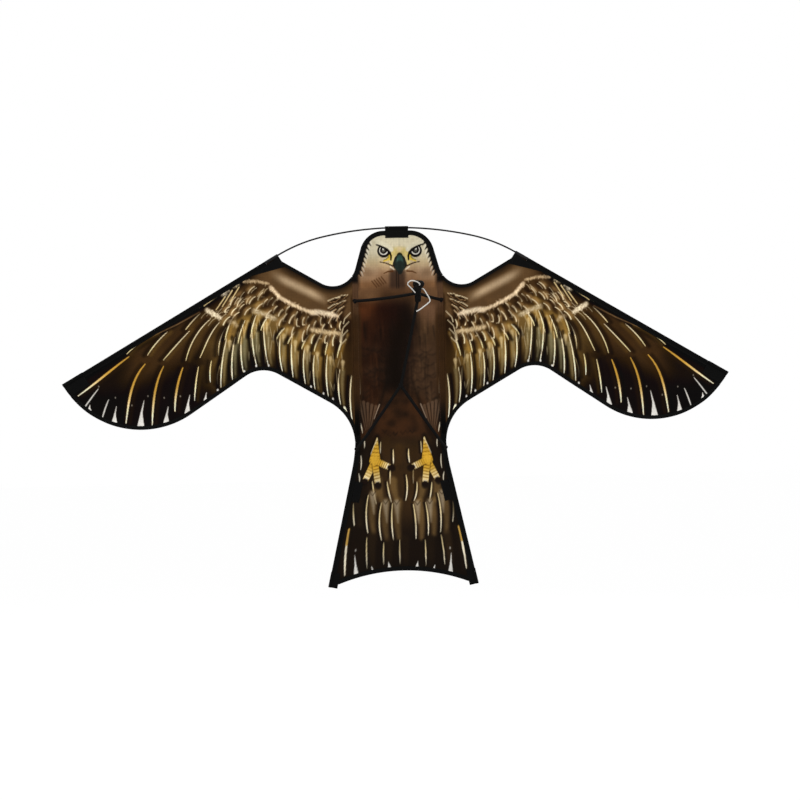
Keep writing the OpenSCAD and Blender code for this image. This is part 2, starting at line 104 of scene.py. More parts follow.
# Wing outline
SPAR_ANGLE = 30.5
LEADING_LENGTH = 482.0
LOBE_R = 170.0
LOBE_SLOPE = 34.0
WAIST_SLOPE = 30.0
ARCH_R = 60.0
WAIST_R = 95.0
WAIST_CURVE_Z = 276.0
HINGE_X = 86.0
ROOT_X = HINGE_X + LONGERON_BORE_R + TUNNEL_WALL + 0.4
TIP_POCKET_LENGTH = 44.0
TIP_POCKET_DEPTH = 24.0
SHOULDER_PATCH_LENGTH = 52.0
SHOULDER_PATCH_DEPTH = 10.0
SHOULDER_DROP = 13.7

# Bow, head and neck
BOW_CROWN_Z = 695.0
BOW_CROWN_R = 650.0
BOW_CROWN_ANGLE = 13.0
BOW_SHOULDER_R = 300.0
NECK = np.array([97.5, 559.5])
NECK_R = 46.0
HEAD_TOP = np.array([60.5, 689.0])
HEAD_CORNER_R = 47.0
HEAD_LOOP_W = 45.0
HEAD_LOOP_REACH = 20.0

# Tail
TAIL_BEND_Z = 260.0
TAIL_ANGLE = 12.5
TAIL_BEND_R = 300.0
HEM_RISE = 29.0
TAIL_POCKET_LENGTH = 30.0
TAIL_POCKET_DEPTH = 15.0
TAIL_PATCH_Z = 206.0
TAIL_PATCH_LENGTH = 40.0
TAIL_PATCH_W = 15.0

# Bridle
BRIDLE_D = 6.0
TOW_D = 2.2
TIE_D = 10.0
TOW_KNOT_D = 13.0
UPPER_TIE = np.array([83.7, -7.3, 553.0])
LOWER_TIE = np.array([86.0, -8.0, 266.0])
BRIDLE_FORK = np.array([0.0, -42.0, 388.0])
TOW_KNOT_FOOT = np.array([33.0, -87.0, 543.0])
TOW_KNOT_HEAD = np.array([33.0, -93.0, 577.0])
TOW_LOOP_ROUTE = [
    (31, -93, 557), (26, -97, 562), (20, -103, 568), (14, -110, 573), (13, -117, 576), (16, -123, 579),
    (21, -126, 580), (27, -122, 579), (32, -113, 578), (36, -103, 576), (36, -96, 573),
]
TOW_TAIL_ROUTE = [
    (37, -91, 566), (42, -91, 568), (46, -92, 564), (50, -92, 557), (54, -93, 550), (55, -95, 544),
    (50, -97, 539), (42, -98, 533), (35, -98, 528), (29, -98, 525),
]


def world(points):
    """Kite millimetres to the row's frame in metres."""
    return (np.asarray(points, float) - TOW_POINT) * MM


# Plain geometry in the sail's plane
def heading(degrees):
    a = math.radians(degrees)
    return np.array([math.cos(a), math.sin(a)])


def bearing(v):
    return math.degrees(math.atan2(v[1], v[0]))


def unit(v):
    return v / np.linalg.norm(v)


def right_of(v):
    return np.array([v[1], -v[0]])


OUTLINE_STEP = 2.0
CURVE_STEPS = 24


def arc(centre, radius, start, end):
    count = max(2, math.ceil(abs(math.radians(end - start)) * radius / OUTLINE_STEP))
    return np.array([centre + radius * heading(a) for a in np.linspace(start, end, count + 1)])


def meeting(p, u, q, v):
    across = q - p
    return p + u * (across[0] * v[1] - across[1] * v[0]) / (u[0] * v[1] - u[1] * v[0])


def rounded(before, corner, after, radius):
    """Round of a corner between two straight stretches."""
    u = unit(before - corner)
    v = unit(after - corner)
    half = math.acos(u @ v) / 2
    centre = corner + unit(u + v) * radius / math.sin(half)
    start = bearing(corner + u * radius / math.tan(half) - centre)
    end = bearing(corner + v * radius / math.tan(half) - centre)
    turn = (end - start + 180) % 360 - 180
    return arc(centre, radius, start, start + turn)


def lengths(points):
    """Distance along a line of points at each of them."""
    steps = np.linalg.norm(np.diff(points, axis=0), axis=1)
    return np.concatenate([[0], np.cumsum(steps)])


def along(points, distance):
    """Points at given distances along a line of points."""
    points = np.asarray(points, float)
    measure = lengths(points)
    return np.stack([np.interp(distance, measure, points[:, k]) for k in range(points.shape[1])], axis=-1)


def resampled(points, step):
    total = lengths(np.asarray(points, float))[-1]
    return along(points, np.linspace(0, total, max(2, math.ceil(total / step) + 1)))


def rounded_line(points, step):
    """Smooth curve through given points, sampled evenly."""
    points = np.asarray(points, float)
    padded = np.vstack([2 * points[0] - points[1], points, 2 * points[-1] - points[-2]])
    t = np.linspace(0, 1, CURVE_STEPS, endpoint=False)[:, None]
    curve = []
    for a, b, c, d in zip(padded, padded[1:], padded[2:], padded[3:]):
        square = a - 2.5 * b + 2 * c - d / 2
        cubic = 1.5 * (b - c) + (d - a) / 2
        curve.append(b + t * ((c - a) / 2 + t * (square + t * cubic)))
    return resampled(np.vstack(curve + [points[-1:]]), step)


def tangents(points):
    ahead = np.vstack([points[1:], 2 * points[-1:] - points[-2:-1]])
    behind = np.vstack([2 * points[:1] - points[1:2], points[:-1]])
    run = ahead - behind
    return run / np.linalg.norm(run, axis=1)[:, None]


def inwards(points):
    """Direction into the cloth, on the right of each edge here."""
    t = tangents(points)
    return np.stack([t[:, 1], -t[:, 0]], axis=1)


# Bow rod and spar
CROWN_CENTRE = np.array([0, BOW_CROWN_Z - BOW_CROWN_R])
BEND_CENTRE = CROWN_CENTRE + (BOW_CROWN_R - BOW_SHOULDER_R) * heading(90 - BOW_CROWN_ANGLE)
SHOULDER = BEND_CENTRE + BOW_SHOULDER_R * heading(90 - SPAR_ANGLE)
SPAR_DIR = heading(-SPAR_ANGLE)
SPAR_IN = right_of(SPAR_DIR)


def on_spar(s, n):
    return SHOULDER + s * SPAR_DIR + n * SPAR_IN


BOW_LINE = np.vstack([
    arc(CROWN_CENTRE, BOW_CROWN_R, 90, 90 - BOW_CROWN_ANGLE),
    arc(BEND_CENTRE, BOW_SHOULDER_R, 90 - BOW_CROWN_ANGLE, 90 - SPAR_ANGLE)[1:],
    [on_spar(TUBE_LENGTH / 2 - GAP, 0)],
])

# Wing edges
TIP = on_spar(LEADING_LENGTH, SPAR_EDGE)
LOBE_CENTRE = on_spar(LEADING_LENGTH - LOBE_R, SPAR_EDGE)
LOBE_END = LOBE_CENTRE + LOBE_R * heading(-90 - LOBE_SLOPE)
WAIST_CENTRE = np.array([HINGE_X + LONGERON_BORE_R + TUNNEL_WALL + WAIST_R, WAIST_CURVE_Z])
WAIST_START = WAIST_CENTRE + WAIST_R * heading(90 + WAIST_SLOPE)
ARCH_CORNER = meeting(LOBE_END, heading(180 - LOBE_SLOPE), WAIST_START, heading(WAIST_SLOPE))
WAIST_JOIN_ANGLE = 177.0
TRAILING_EDGE = resampled(np.vstack([
    arc(LOBE_CENTRE, LOBE_R, -SPAR_ANGLE, -90 - LOBE_SLOPE),
    rounded(LOBE_END, ARCH_CORNER, WAIST_START, ARCH_R),
    arc(WAIST_CENTRE, WAIST_R, 90 + WAIST_SLOPE, WAIST_JOIN_ANGLE),
]), OUTLINE_STEP)
SHOULDER_LOW = on_spar(0, SHOULDER_DROP)
NECK_ROUND = rounded(HEAD_TOP, NECK, SHOULDER_LOW, NECK_R)
NECK_EDGE = np.vstack([NECK_ROUND[NECK_ROUND[:, 0] > ROOT_X], [SHOULDER_LOW]])
NECK_DIR = unit(SHOULDER_LOW - NECK)

# Head, longeron and hem
HEAD_ROUND = rounded(np.array([0, HEAD_TOP[1]]), HEAD_TOP, NECK, HEAD_CORNER_R)
HEAD_SIDE = unit(HEAD_TOP - NECK)
ROOT_TOP_Z = NECK_EDGE[0, 1] + TAPE_T + GAP
HEAD_FOOT_Z = ROOT_TOP_Z + GAP - HEAD_TAPE_W * HEAD_SIDE[0]
HEAD_FOOT = NECK + HEAD_SIDE * (HEAD_FOOT_Z - NECK[1]) / HEAD_SIDE[1]
HEAD_HALF = np.vstack([HEAD_ROUND, [HEAD_FOOT]])
HEAD_TAPE_HALF = np.vstack([HEAD_ROUND, NECK_ROUND[NECK_ROUND[:, 0] < HEAD_TAPE_X]])
HEAD_EDGE = resampled(np.vstack([HEAD_TAPE_HALF[::-1] * (-1, 1), HEAD_TAPE_HALF]), OUTLINE_STEP)
TAIL_DIR = heading(TAIL_ANGLE - 90)
TAIL_IN = right_of(TAIL_DIR)
TAIL_CENTRE = np.array([
    HINGE_X + TAIL_BEND_R,
    TAIL_BEND_Z + TAIL_BEND_R * math.tan(math.radians(TAIL_ANGLE / 2)),
])
TAIL_START = TAIL_CENTRE + TAIL_BEND_R * heading(180 + TAIL_ANGLE)
TAIL_LENGTH = TAIL_START[1] / math.cos(math.radians(TAIL_ANGLE))


def on_tail(s, n):
    return TAIL_START + s * TAIL_DIR + n * TAIL_IN


TAIL_CORNER = on_tail(TAIL_LENGTH, LONGERON_EDGE)
HEM_R = (TAIL_CORNER[0] ** 2 + HEM_RISE ** 2) / (2 * HEM_RISE)
HEM_CENTRE = np.array([0, TAIL_CORNER[1] + HEM_RISE - HEM_R])
BODY_X = HINGE_X - LONGERON_EDGE
BODY_SIDE = np.vstack([
    HEAD_HALF,
    [(BODY_X, HEAD_FOOT_Z - 2)],
    arc(TAIL_CENTRE, TAIL_BEND_R + LONGERON_EDGE, 180, 180 + TAIL_ANGLE),
    [TAIL_CORNER],
])


def half_width(z):
    """Half of the body panel's width at a height."""
    return np.interp(z, BODY_SIDE[::-1, 1], BODY_SIDE[::-1, 0])


def hem_z(x):
    return HEM_CENTRE[1] + np.sqrt(HEM_R ** 2 - np.square(x))


WING_TOP = np.vstack([
    NECK_EDGE,
    [on_spar(0, TUBE_EDGE), on_spar(TUBE_LENGTH, TUBE_EDGE), on_spar(TUBE_LENGTH + 2, SPAR_EDGE), TIP],
])


def wing_top(x):
    return np.interp(x, WING_TOP[:, 0], WING_TOP[:, 1])


def wing_bottom(x):
    return np.interp(x, TRAILING_EDGE[::-1, 0], TRAILING_EDGE[::-1, 1])


def smooth(low, high, v):
    t = np.clip((v - low) / (high - low), 0, 1)
    return t * t * (3 - 2 * t)


# The wind fills the cloth between its rods, over these distances from them
BODY_FILL = 5.0
BODY_FILL_END_Z = 640
BODY_FILL_Z = 540
WING_FILL = 6.0
SPAR_REACH = 55
ROOT_REACH = 60
RIPPLE = 0.9
RIPPLE_REACH = 22
RIPPLE_PERIOD = 11
RIPPLE_SLANT = 0.6


def billow(x, z):
    """How far the cloth stands behind the sail's plane."""
    x = np.abs(x)
    room = np.maximum(half_width(z) + LONGERON_EDGE, 1)
    flat = smooth(BODY_FILL_END_Z, BODY_FILL_Z, z)
    body = BODY_FILL * np.clip(1 - np.square(x / room), 0, 1) * flat
    n = np.maximum((x - SHOULDER[0]) * SPAR_IN[0] + (z - SHOULDER[1]) * SPAR_IN[1], 0)
    r = np.maximum(x - ROOT_X, 0)
    wing = WING_FILL * (1 - np.exp(-n / SPAR_REACH)) * (1 - np.exp(-r / ROOT_REACH))
    edge = np.exp(-np.maximum(z - wing_bottom(x), 0) / RIPPLE_REACH)
    wave = np.sin((x + RIPPLE_SLANT * z) / RIPPLE_PERIOD)
    wing = wing + RIPPLE * edge * wave * smooth(0, ROOT_REACH, r)
    return np.where((x > HINGE_X) & (z > TAIL_START[1]), wing, body)


def on_cloth(x, z):
    return np.stack([x, billow(x, z), z], axis=-1)


def round_angles(count):
    """Angles of points spaced evenly round a circle."""
    return np.linspace(0, 2 * math.pi, count, endpoint=False)


def new_object(name, data):
    """Blender object in the scene."""
    thing = bpy.data.objects.new(name, data)
    bpy.context.scene.collection.objects.link(thing)
    return thing


class Shape:
    """Points and faces of one piece in kite millimetres, with a material number for each face."""

    def __init__(self):
        self.points = []
        self.measure = []
        self.loops = []
        self.sizes = []
        self.marks = []
        self.count = 0

    def add(self, points, faces, mark=0, measure=None):
        """Adds points and equal-sided faces; measure is each point's distance along its tape, or on a cord the
        height of its braid, which sets the cord's painted shade.
        """
        faces = np.asarray(faces)
        self.loops.append((faces + self.count).ravel())
        self.sizes.append(np.full(len(faces), faces.shape[1]))
        self.marks.append(np.full(len(faces), mark))
        if len(points):
            self.points.append(points)
            self.measure.append(np.zeros(len(points)) if measure is None else measure)

    def close(self, points):
        """Later faces start counting after these points."""
        self.count += len(points)

    def add_rings(self, rings, mark=0, measure=None, loop=False):
        """Skin over rings of points, which may close on itself; measure is for each ring or each point."""
        count, sides, _ = rings.shape
        index = np.arange(count * sides).reshape(count, sides)
        first = index if loop else index[:-1]
        second = np.roll(index, -1, axis=0) if loop else index[1:]
        quads = np.stack([first, np.roll(first, -1, 1), np.roll(second, -1, 1), second], axis=-1)
        points = rings.reshape(-1, 3)
        if measure is not None:
            measure = np.broadcast_to(np.reshape(measure, (count, -1)), (count, sides)).ravel()
        self.add(points, quads.reshape(-1, 4), mark, measure)
        if not loop:
            self.add([], index[0][None, ::-1], mark)
            self.add([], index[-1][None], mark)
        self.close(points)

    def mesh(self, name):
        """Mesh of this shape in the row's frame, with each point's measure as an attribute: a distance, or a
        cord's braid height for its painted shade.
        """
        mesh = bpy.data.meshes.new(name)
        points = np.vstack(self.points)
        loops = np.concatenate(self.loops).astype(np.int32)
        sizes = np.concatenate(self.sizes)
        mesh.vertices.add(len(points))
        mesh.vertices.foreach_set("co", world(points).astype(np.float32).ravel())
        mesh.loops.add(len(loops))
        mesh.loops.foreach_set("vertex_index", loops)
        mesh.polygons.add(len(sizes))
        mesh.polygons.foreach_set("loop_start", (np.cumsum(sizes) - sizes).astype(np.int32))
        mesh.polygons.foreach_set("material_index", np.concatenate(self.marks).astype(np.int32))
        mesh.polygons.foreach_set("use_smooth", np.ones(len(sizes), bool))
        mesh.update(calc_edges=True)
        measure = mesh.attributes.new("measure", "FLOAT", "POINT")
        measure.data.foreach_set("value", np.concatenate(self.measure).astype(np.float32))
        return mesh

    def piece(self, name, materials, crease=40, colours=None):
        """Blender object with this shape, creased above an angle and printed if it has colours."""
        mesh = self.mesh(name)
        if colours is not None:
            layer = mesh.attributes.new("print", "FLOAT_COLOR", "POINT")
            rgba = np.column_stack([colours, np.ones(len(colours))])
            layer.data.foreach_set("color", rgba.astype(np.float32).ravel())
        for material in materials:
            mesh.materials.append(material)
        shell = bmesh.new()
        shell.from_mesh(mesh)
        bmesh.ops.recalc_face_normals(shell, faces=shell.faces)
        shell.to_mesh(mesh)
        shell.free()
        mesh.set_sharp_from_angle(angle=math.radians(crease))
        return new_object(name, mesh)


# Sewn tapes, tunnels and pockets: a profile of (depth into the cloth, height behind it) swept along an edge
TAPE_PUFF = 0.1
TAPE_NOSE = 0.3
NOSE_STEPS = 9
FOLD_DEPTH = 0.2
LIP_ROUND = 0.25
LIP_SLOPE = 1.2
ROD_STEPS = 25
BORE_STEPS = 21
BORE_MOUTH = 0.25
FULL_TURN = 2 * math.pi


def turned(r, start, end, count):
    """Points of a circle round a rod's middle, between two angles in radians."""
    return [(r * math.cos(a), r * math.sin(a)) for a in np.linspace(start, end, count)]


def back_leg(front):
    """The back leg that mirrors a front leg, in the opposite order."""
    return [(n, -y) for n, y in front[::-1]]


def tape_profile(width):
    """Tape folded over the cloth's edge, with its two legs on the cloth's faces."""
    outer = FOLD_T / 2 + TAPE_PUFF
    inner = SAIL_T / 2
    nose = [(TAPE_NOSE - n, y) for n, y in turned(outer, -math.pi / 2, math.pi / 2, NOSE_STEPS)]
    lip = max(width - LIP_ROUND, 0.32)
    shoulder = max(width - LIP_SLOPE, 0.31)
    front = [(width, -inner - TAPE_PUFF), (lip, -outer + 0.08), (shoulder, -outer)]
    slot = [(width, inner), (FOLD_DEPTH, inner), (FOLD_DEPTH, -inner), (width, -inner)]
    return np.array(front + nose + back_leg(front) + slot)


def tunnel_profile(bore_r, leg, slit=SAIL_T / 2):
    """Tunnel round a rod, with two sewn legs."""
    r = bore_r + TUNNEL_WALL
    flat = slit + TAPE_T
    meet = math.asin(min(0.9, flat / r)) + 0.45
    outer = turned(r, -meet, meet - FULL_TURN, ROD_STEPS)
    inner = turned(bore_r, BORE_MOUTH - FULL_TURN, -BORE_MOUTH, BORE_STEPS)
    run = np.linspace(leg - 0.3, r * math.cos(meet) + 2.4, 4)
    front = [(leg, -slit - TAPE_PUFF), *((n, -flat) for n in run)]
    lining = [(leg, slit), (r, slit)] + inner + [(r, -slit), (leg, -slit)]
    return np.array(front + outer + back_leg(front) + lining)


def pocket_profile(r, leg):
    """Closed pocket round a capped rod end."""
    flat = FOLD_T / 2
    meet = math.asin(min(0.9, flat / r)) + 0.3
    start = r * math.cos(meet) + 0.6
    front = [(n, -flat) for n in np.linspace(max(leg, start + 0.3), start, 6)]
    return np.array(front + turned(r, -meet, meet - FULL_TURN, ROD_STEPS) + back_leg(front))


def swept(edge, inward, profile, sign):
    """Rings of a profile along an edge, on the billowed cloth; profile may differ from ring to ring."""
    profile = np.broadcast_to(profile, (len(edge),) + profile.shape[-2:])
    x = edge[:, :1] + profile[..., 0] * inward[:, :1]
    z = edge[:, 1:] + profile[..., 0] * inward[:, 1:]
    y = profile[..., 1] + billow(x, z)
    return np.stack([sign * x, y, z], axis=-1)


STITCH_PITCH = 4.2
STITCH_LENGTH = 3.1
STITCH_R = 0.34
STITCH_SIDES = 5
STITCH_SWELL = (0.45, 1.0, 0.45)


def add_stitches(shape, path, face):
    """Row of thread stitches along a path, on the front (face -1) or back (face 1) of the cloth."""
    total = lengths(path)[-1]
    count = max(1, int(total // STITCH_PITCH))
    centres = (np.arange(count) + 0.5) * total / count
    angles = round_angles(STITCH_SIDES)[:, None]
    up = np.array([0, face, 0])
    for centre in centres:
        span = along(path, centre + np.array([-0.5, 0, 0.5]) * STITCH_LENGTH)
        run = unit(span[2] - span[0])
        side = unit(np.cross(run, up))
        ring = np.cos(angles) * side + np.sin(angles) * np.cross(side, run)
        rings = [point + STITCH_R * size * ring for point, size in zip(span, STITCH_SWELL)]
        shape.add_rings(np.array(rings), mark=1)


FRONT = (-1,)
BACK = (1,)


def add_seam(shape, path, height, sign, faces=FRONT + BACK):
    """Stitch rows along a path in the sail's plane, on the cloth's front, its back or both."""
    line = on_cloth(*path.T) * (sign, 1, 1)
    for face in faces:
        add_stitches(shape, line + (0, face * height, 0), face)


EDGE_STEP = 3.0
SEAM_INSET = 1.6
TUNNEL_SEAM_INSET = 1.5
TAPE_SEAM_HEIGHT = FOLD_T / 2 + 0.12
LEAST_SEWN = 4.0


def add_tunnel(shape, edge, profile, leg, sign):
    edge = resampled(edge, EDGE_STEP)
    inward = inwards(edge)
    shape.add_rings(swept(edge, inward, profile, sign), measure=lengths(edge))
    add_seam(shape, edge + (leg - TUNNEL_SEAM_INSET) * inward, FOLD_T / 2, sign)


def quads_of(index):
    corners = [index[:-1, :-1], index[:-1, 1:], index[1:, 1:], index[1:, :-1]]
    return np.stack(corners, axis=-1).reshape(-1, 4)


def rim_of(index):
    """Outer points of a grid, in order round it."""
    return np.concatenate([index[0, :-1], index[:-1, -1], index[-1, :0:-1], index[:0:-1, 0]])


def add_sheet(shape, grid, front, back):
    """Thin closed sheet on a grid of points (rows, columns, 3), with its faces at two heights."""
    count = grid.shape[0] * grid.shape[1]
    near = np.arange(count).reshape(grid.shape[:2])
    rim = rim_of(near)
    ahead = np.roll(rim, -1)
    sides = np.stack([ahead, rim, rim + count, ahead + count], axis=-1)
    points = grid.reshape(-1, 3)
    layers = np.vstack([points + (0, front, 0), points + (0, back, 0)])
    shape.add(layers, np.vstack([quads_of(near), quads_of(near + count)[:, [0, 3, 2, 1]], sides]))
    shape.close(layers)


# Painted plumage: layers of soft-edged marks in plain colours, folded about the centreline.
# Places and widths are in kite millimetres, and strengths run from 0 to 1.
# A stroke's softness is in millimetres and a spot's is a share of its size.
NOISE_SIZE = 64
NOISE_SEED = 11
WING_SEED = 5
BODY_SEED = 9
NOISE = np.random.default_rng(NOISE_SEED).random((NOISE_SIZE, NOISE_SIZE))


def noise(a, b):
    """Smooth noise from 0 to 1 with a lattice of one unit."""
    i = np.floor(a).astype(int)
    j = np.floor(b).astype(int)
    s = smooth(0, 1, a - i)
    t = smooth(0, 1, b - j)

    def at(p, q):
        return NOISE[p % NOISE_SIZE, q % NOISE_SIZE]

    low = at(i, j) * (1 - s) + at(i + 1, j) * s
    high = at(i, j + 1) * (1 - s) + at(i + 1, j + 1) * s
    return low * (1 - t) + high * t


def paint(code):
    """Colour written as in a paint chart, for blending as it is seen."""
    return np.array([int(code[i:i + 2], 16) for i in (1, 3, 5)]) / 255


def linear(rgb):
    return np.where(rgb <= 0.04045, rgb / 12.92, ((np.maximum(rgb, 0) + 0.055) / 1.055) ** 2.4)


CREAM = paint("#e8d6b0")
PALE = paint("#f3e8cd")
STRAW = paint("#e9d29c")
GOLD = paint("#c99d48")
AMBER = paint("#94743a")
OLIVE = paint("#54513c")
KHAKI = paint("#6e5833")
TAN = paint("#b08c64")
BARK = paint("#24180d")
SOOT = paint("#0e0905")
ASH = paint("#dedbd4")
ROOT_BROWN = paint("#36220f")
WING_GROUND = paint("#43311d")
BODY_GROUND = paint("#20120a")
WING_CONTRAST = 1.22
WING_MIDDLE = 0.30
DARKEST = 0.015
PALEST = 0.97


class Print:
    """Colours at the points of a panel, painted in layers."""

    def __init__(self, x, z, base):
        self.x = np.abs(x)
        self.side = x
        self.z = z
        self.rgb = np.tile(base, (x.size, 1))

    def unfold(self):
        """Marks stay on their own side of the centreline."""
        self.x = self.side

    def fold(self):
        """Marks appear on both sides of the centreline."""
        self.x = np.abs(self.side)

    def cover(self, alpha, colour, where=slice(None)):
        alpha = np.clip(alpha, 0, 1)[:, None]
        self.rgb[where] += alpha * (colour - self.rgb[where])

    def shade(self, factor):
        self.rgb *= factor[:, None]

    def contrast(self, gain, middle):
        """Spreads tones away from a middle one, between the darkest and the palest ink."""
        self.rgb = np.clip(middle + gain * (self.rgb - middle), DARKEST, PALEST)

    def tones(self, rows, mask=1.0):
        """Ground tones, each with the heights where it starts and is full, a strength and a colour code."""
        for low, high, alpha, code in rows:
            self.cover(mask * smooth(low, high, self.z) * alpha, paint(code))

    def marks(self, rows):
        """Marks in order, each a brush, its place, two sizes, a colour code, a strength and a softness."""
        for brush, place, first, second, code, alpha, soft in rows:
            brush(self, place, first, second, paint(code), alpha, soft)

    def near(self, points, reach):
        low = np.min(points, axis=0) - reach
        high = np.max(points, axis=0) + reach
        inside = (self.x > low[0]) & (self.x < high[0]) & (self.z > low[1]) & (self.z < high[1])
        return np.flatnonzero(inside)

    def stroke(self, points, start_w, end_w, colour, alpha=1.0, soft=1.1, taper=0.0):
        """Line of a brush that tapers; returns the marked points and their place along it."""
        points = np.asarray(points, float)
        where = self.near(points, max(start_w, end_w) / 2 + soft)
        measure = lengths(points) / max(lengths(points)[-1], 1e-6)
        best = np.full(where.size, 1e9)
        place = np.zeros(where.size)
        for k in range(len(points) - 1):
            a = points[k]
            run = points[k + 1] - a
            dx = self.x[where] - a[0]
            dz = self.z[where] - a[1]
            t = np.clip((dx * run[0] + dz * run[1]) / (run @ run), 0, 1)
            distance = np.hypot(dx - t * run[0], dz - t * run[1])
            closer = distance < best
            best = np.where(closer, distance, best)
            place = np.where(closer, measure[k] + t * (measure[k + 1] - measure[k]), place)
        half = (start_w + (end_w - start_w) * place) / 2 * (1 - taper * np.square(2 * place - 1))
        mask = smooth(half + soft / 2, half - soft / 2, best) * alpha
        self.cover(mask, colour, where)
        return where, place, mask

    def spot(self, centre, rx, rz, colour, alpha=1.0, soft=0.15, tilt=0.0):
        """Soft-edged ellipse."""
        a = math.radians(tilt)
        reach = max(rx, rz) * (1 + soft)
        where = self.near(np.array([centre]), reach)
        dx = self.x[where] - centre[0]
        dz = self.z[where] - centre[1]
        u = (dx * math.cos(a) + dz * math.sin(a)) / rx
        v = (dz * math.cos(a) - dx * math.sin(a)) / rz
        self.cover(smooth(1 + soft, 1 - soft, np.hypot(u, v)) * alpha, colour, where)


ARM = np.vstack([
    [(86, 516), (119, 523), (170, 533), (207, 549), (233, 568), (256, 590)],
    [on_spar(s, 22) for s in (60, 150, 250, 330, 405)],
])


def arm_z(x):
    return np.interp(x, ARM[:, 0], ARM[:, 1])


def wing_point(x, v):
    """Point of the wing v of the way down from its arm to its trailing edge."""
    top = arm_z(x)
    return np.array([x, top + (wing_bottom(x) - top) * v])


def bent(top, bottom, bow):
    """Line between two points that bows outwards."""
    top = np.asarray(top, float)
    run = np.asarray(bottom, float) - top
    t = np.linspace(0, 1, 7)[:, None]
    return top + run * t - right_of(unit(run)) * 4 * bow * t * (1 - t)


def curved(points):
    """Smooth line through three or four points."""
    points = np.array(points, float)
    t = lengths(points) / lengths(points)[-1]
    s = np.linspace(0, 1, 10)
    return np.stack([np.polyval(np.polyfit(t, points[:, k], len(points) - 1), s) for k in (0, 1)], axis=1)


def paint_wing_ground(canvas):
    """Broad tones under the feathers: brown coverts, golden flight feathers and a dark wing tip."""
    top = arm_z(canvas.x)
    depth = (top - canvas.z) / np.maximum(top - wing_bottom(canvas.x), 1)
    hand = smooth(330, 420, canvas.x)
    grain = noise(canvas.x / 17, canvas.z / 29)
    gold = smooth(0.16, 0.40, depth + 0.3 * (grain - 0.5)) * (1 - hand)
    canvas.cover(gold * 0.8, KHAKI)
    canvas.cover(gold * smooth(0.40, 0.75, noise(canvas.x / 23 + 5, canvas.z / 37)) * 0.45, AMBER)
    grey = smooth(0.42, 0.62, depth) * smooth(235, 275, canvas.x) * smooth(352, 325, canvas.x)
    canvas.cover(grey * 0.6, OLIVE)
    canvas.cover(smooth(0.62, 1.0, depth + 0.25 * (grain - 0.5)) * 0.85, SOOT)
    canvas.cover(hand * smooth(0.20, 0.55, depth) * 0.95, paint("#150e07"))
    canvas.cover(hand * smooth(0.40, 0.05, depth) * 0.20, BARK)
    canvas.cover(smooth(500, 555, canvas.x) * 0.75, paint("#120d08"))
    canvas.cover(smooth(136, 96, canvas.x) * 0.75, BARK)
    n = (canvas.x - SHOULDER[0]) * SPAR_IN[0] + (canvas.z - SHOULDER[1]) * SPAR_IN[1]
    canvas.cover(smooth(20, 9, n) * smooth(250, 290, canvas.x) * 0.9, SOOT)


def paint_quill(canvas, curve, vane, vane_w, shaft_w, colours, dark, light):
    """Feather drawn as a lit vane, a dark gap beside it and its pale tapering shaft."""
    canvas.stroke(curve + (vane_w * 0.42, 0), vane_w * 0.30, vane_w * 0.42, SOOT, dark, soft=vane_w * 0.5)
    canvas.stroke(curve - (vane_w * 0.42, 0), vane_w * 0.45, vane_w * 0.30, vane, light, soft=vane_w * 0.55)
    canvas.stroke(curve + (shaft_w * 0.6, 0), shaft_w + 1.0, shaft_w, BARK, 0.8, soft=1.8, taper=0.5)
    where, place, mask = canvas.stroke(curve, shaft_w, shaft_w * 0.8, colours[0], 0.95, taper=0.6)
    canvas.cover(mask * smooth(0.35, 0.95, place), colours[1], where)


UPPER_SHAFTS = 10
LOWER_SHAFTS = 12
BARBS = 60
GLEAM = paint("#cfb98d")


def paint_lower_shafts(canvas, rng):
    """Long upright shafts of the inner flight feathers, which lean a little near the wrist."""
    for k in range(LOWER_SHAFTS):
        x = 95 + 22.8 * k + 2.5 * rng.normal()
        lean = 8 * math.exp(-((k - 7.5) / 1.4) ** 2) - 13 * smooth(8.8, 11.0, k)
        top = wing_point(x + lean, 0.48 + 0.05 * rng.normal())
        low = bent(top, wing_point(x, 0.935), 2.2 + 1.5 * rng.random())
        vane = OLIVE * 1.25 if 7 < k < 11 else paint("#6f5d38")
        paint_quill(canvas, low, vane * (0.75 + 0.45 * rng.random()), 15, 2.7, (CREAM, PALE), 0.85, 0.5)
        sheen = bent(wing_point(x + 0.6 * lean - 6.0, 0.56), wing_point(x - 6.0, 0.90), 2.0)
        canvas.stroke(sheen, 7.0, 3.0, paint("#958a6c"), 0.34, soft=5)
        gleam = wing_point(x + lean - 6, 0.44 + 0.05 * rng.random())
        if k > 0:
            canvas.stroke([gleam, gleam + (1, -11 - 10 * rng.random())], 7.5, 1.0, GLEAM, 0.65, soft=4)


def paint_upper_shafts(canvas, rng):
    """Shorter leaning shafts over the inner flight feathers."""
    for k in range(UPPER_SHAFTS):
        x = 118 + 24 * k + 2.5 * rng.normal()
        v = 0.17 + 0.21 * smooth(0, 5, k) * smooth(10.0, 7.0, k) + 0.02 * rng.normal()
        top = wing_point(x - 12 - 4 * rng.random(), v)
        run = 0.20 + 0.12 * smooth(4, 0, k)
        high = bent(top, wing_point(x, v + run + 0.03 * rng.normal()), 1.2 + rng.random())
        paint_quill(canvas, high, AMBER * (0.9 + 0.4 * rng.random()), 14, 2.3, (CREAM, STRAW), 0.75, 0.55)
        gleam = top + (-5, -2)
        canvas.stroke([gleam, gleam + (4, -12 - 6 * rng.random())], 5.0, 1.0, GLEAM, 0.4, soft=4)


def paint_barbs(canvas, rng):
    """Short light and dark lines between the shafts."""
    for k in range(BARBS):
        x = 112 + 240 * rng.random()
        top = wing_point(x, 0.34 + 0.45 * rng.random())
        tone = CREAM * 0.85 if k % 3 else SOOT
        end = top + (2 * rng.normal(), -14 - 16 * rng.random())
        canvas.stroke([top, end], 1.8, 1.0, tone, 0.5, soft=1.4, taper=0.6)


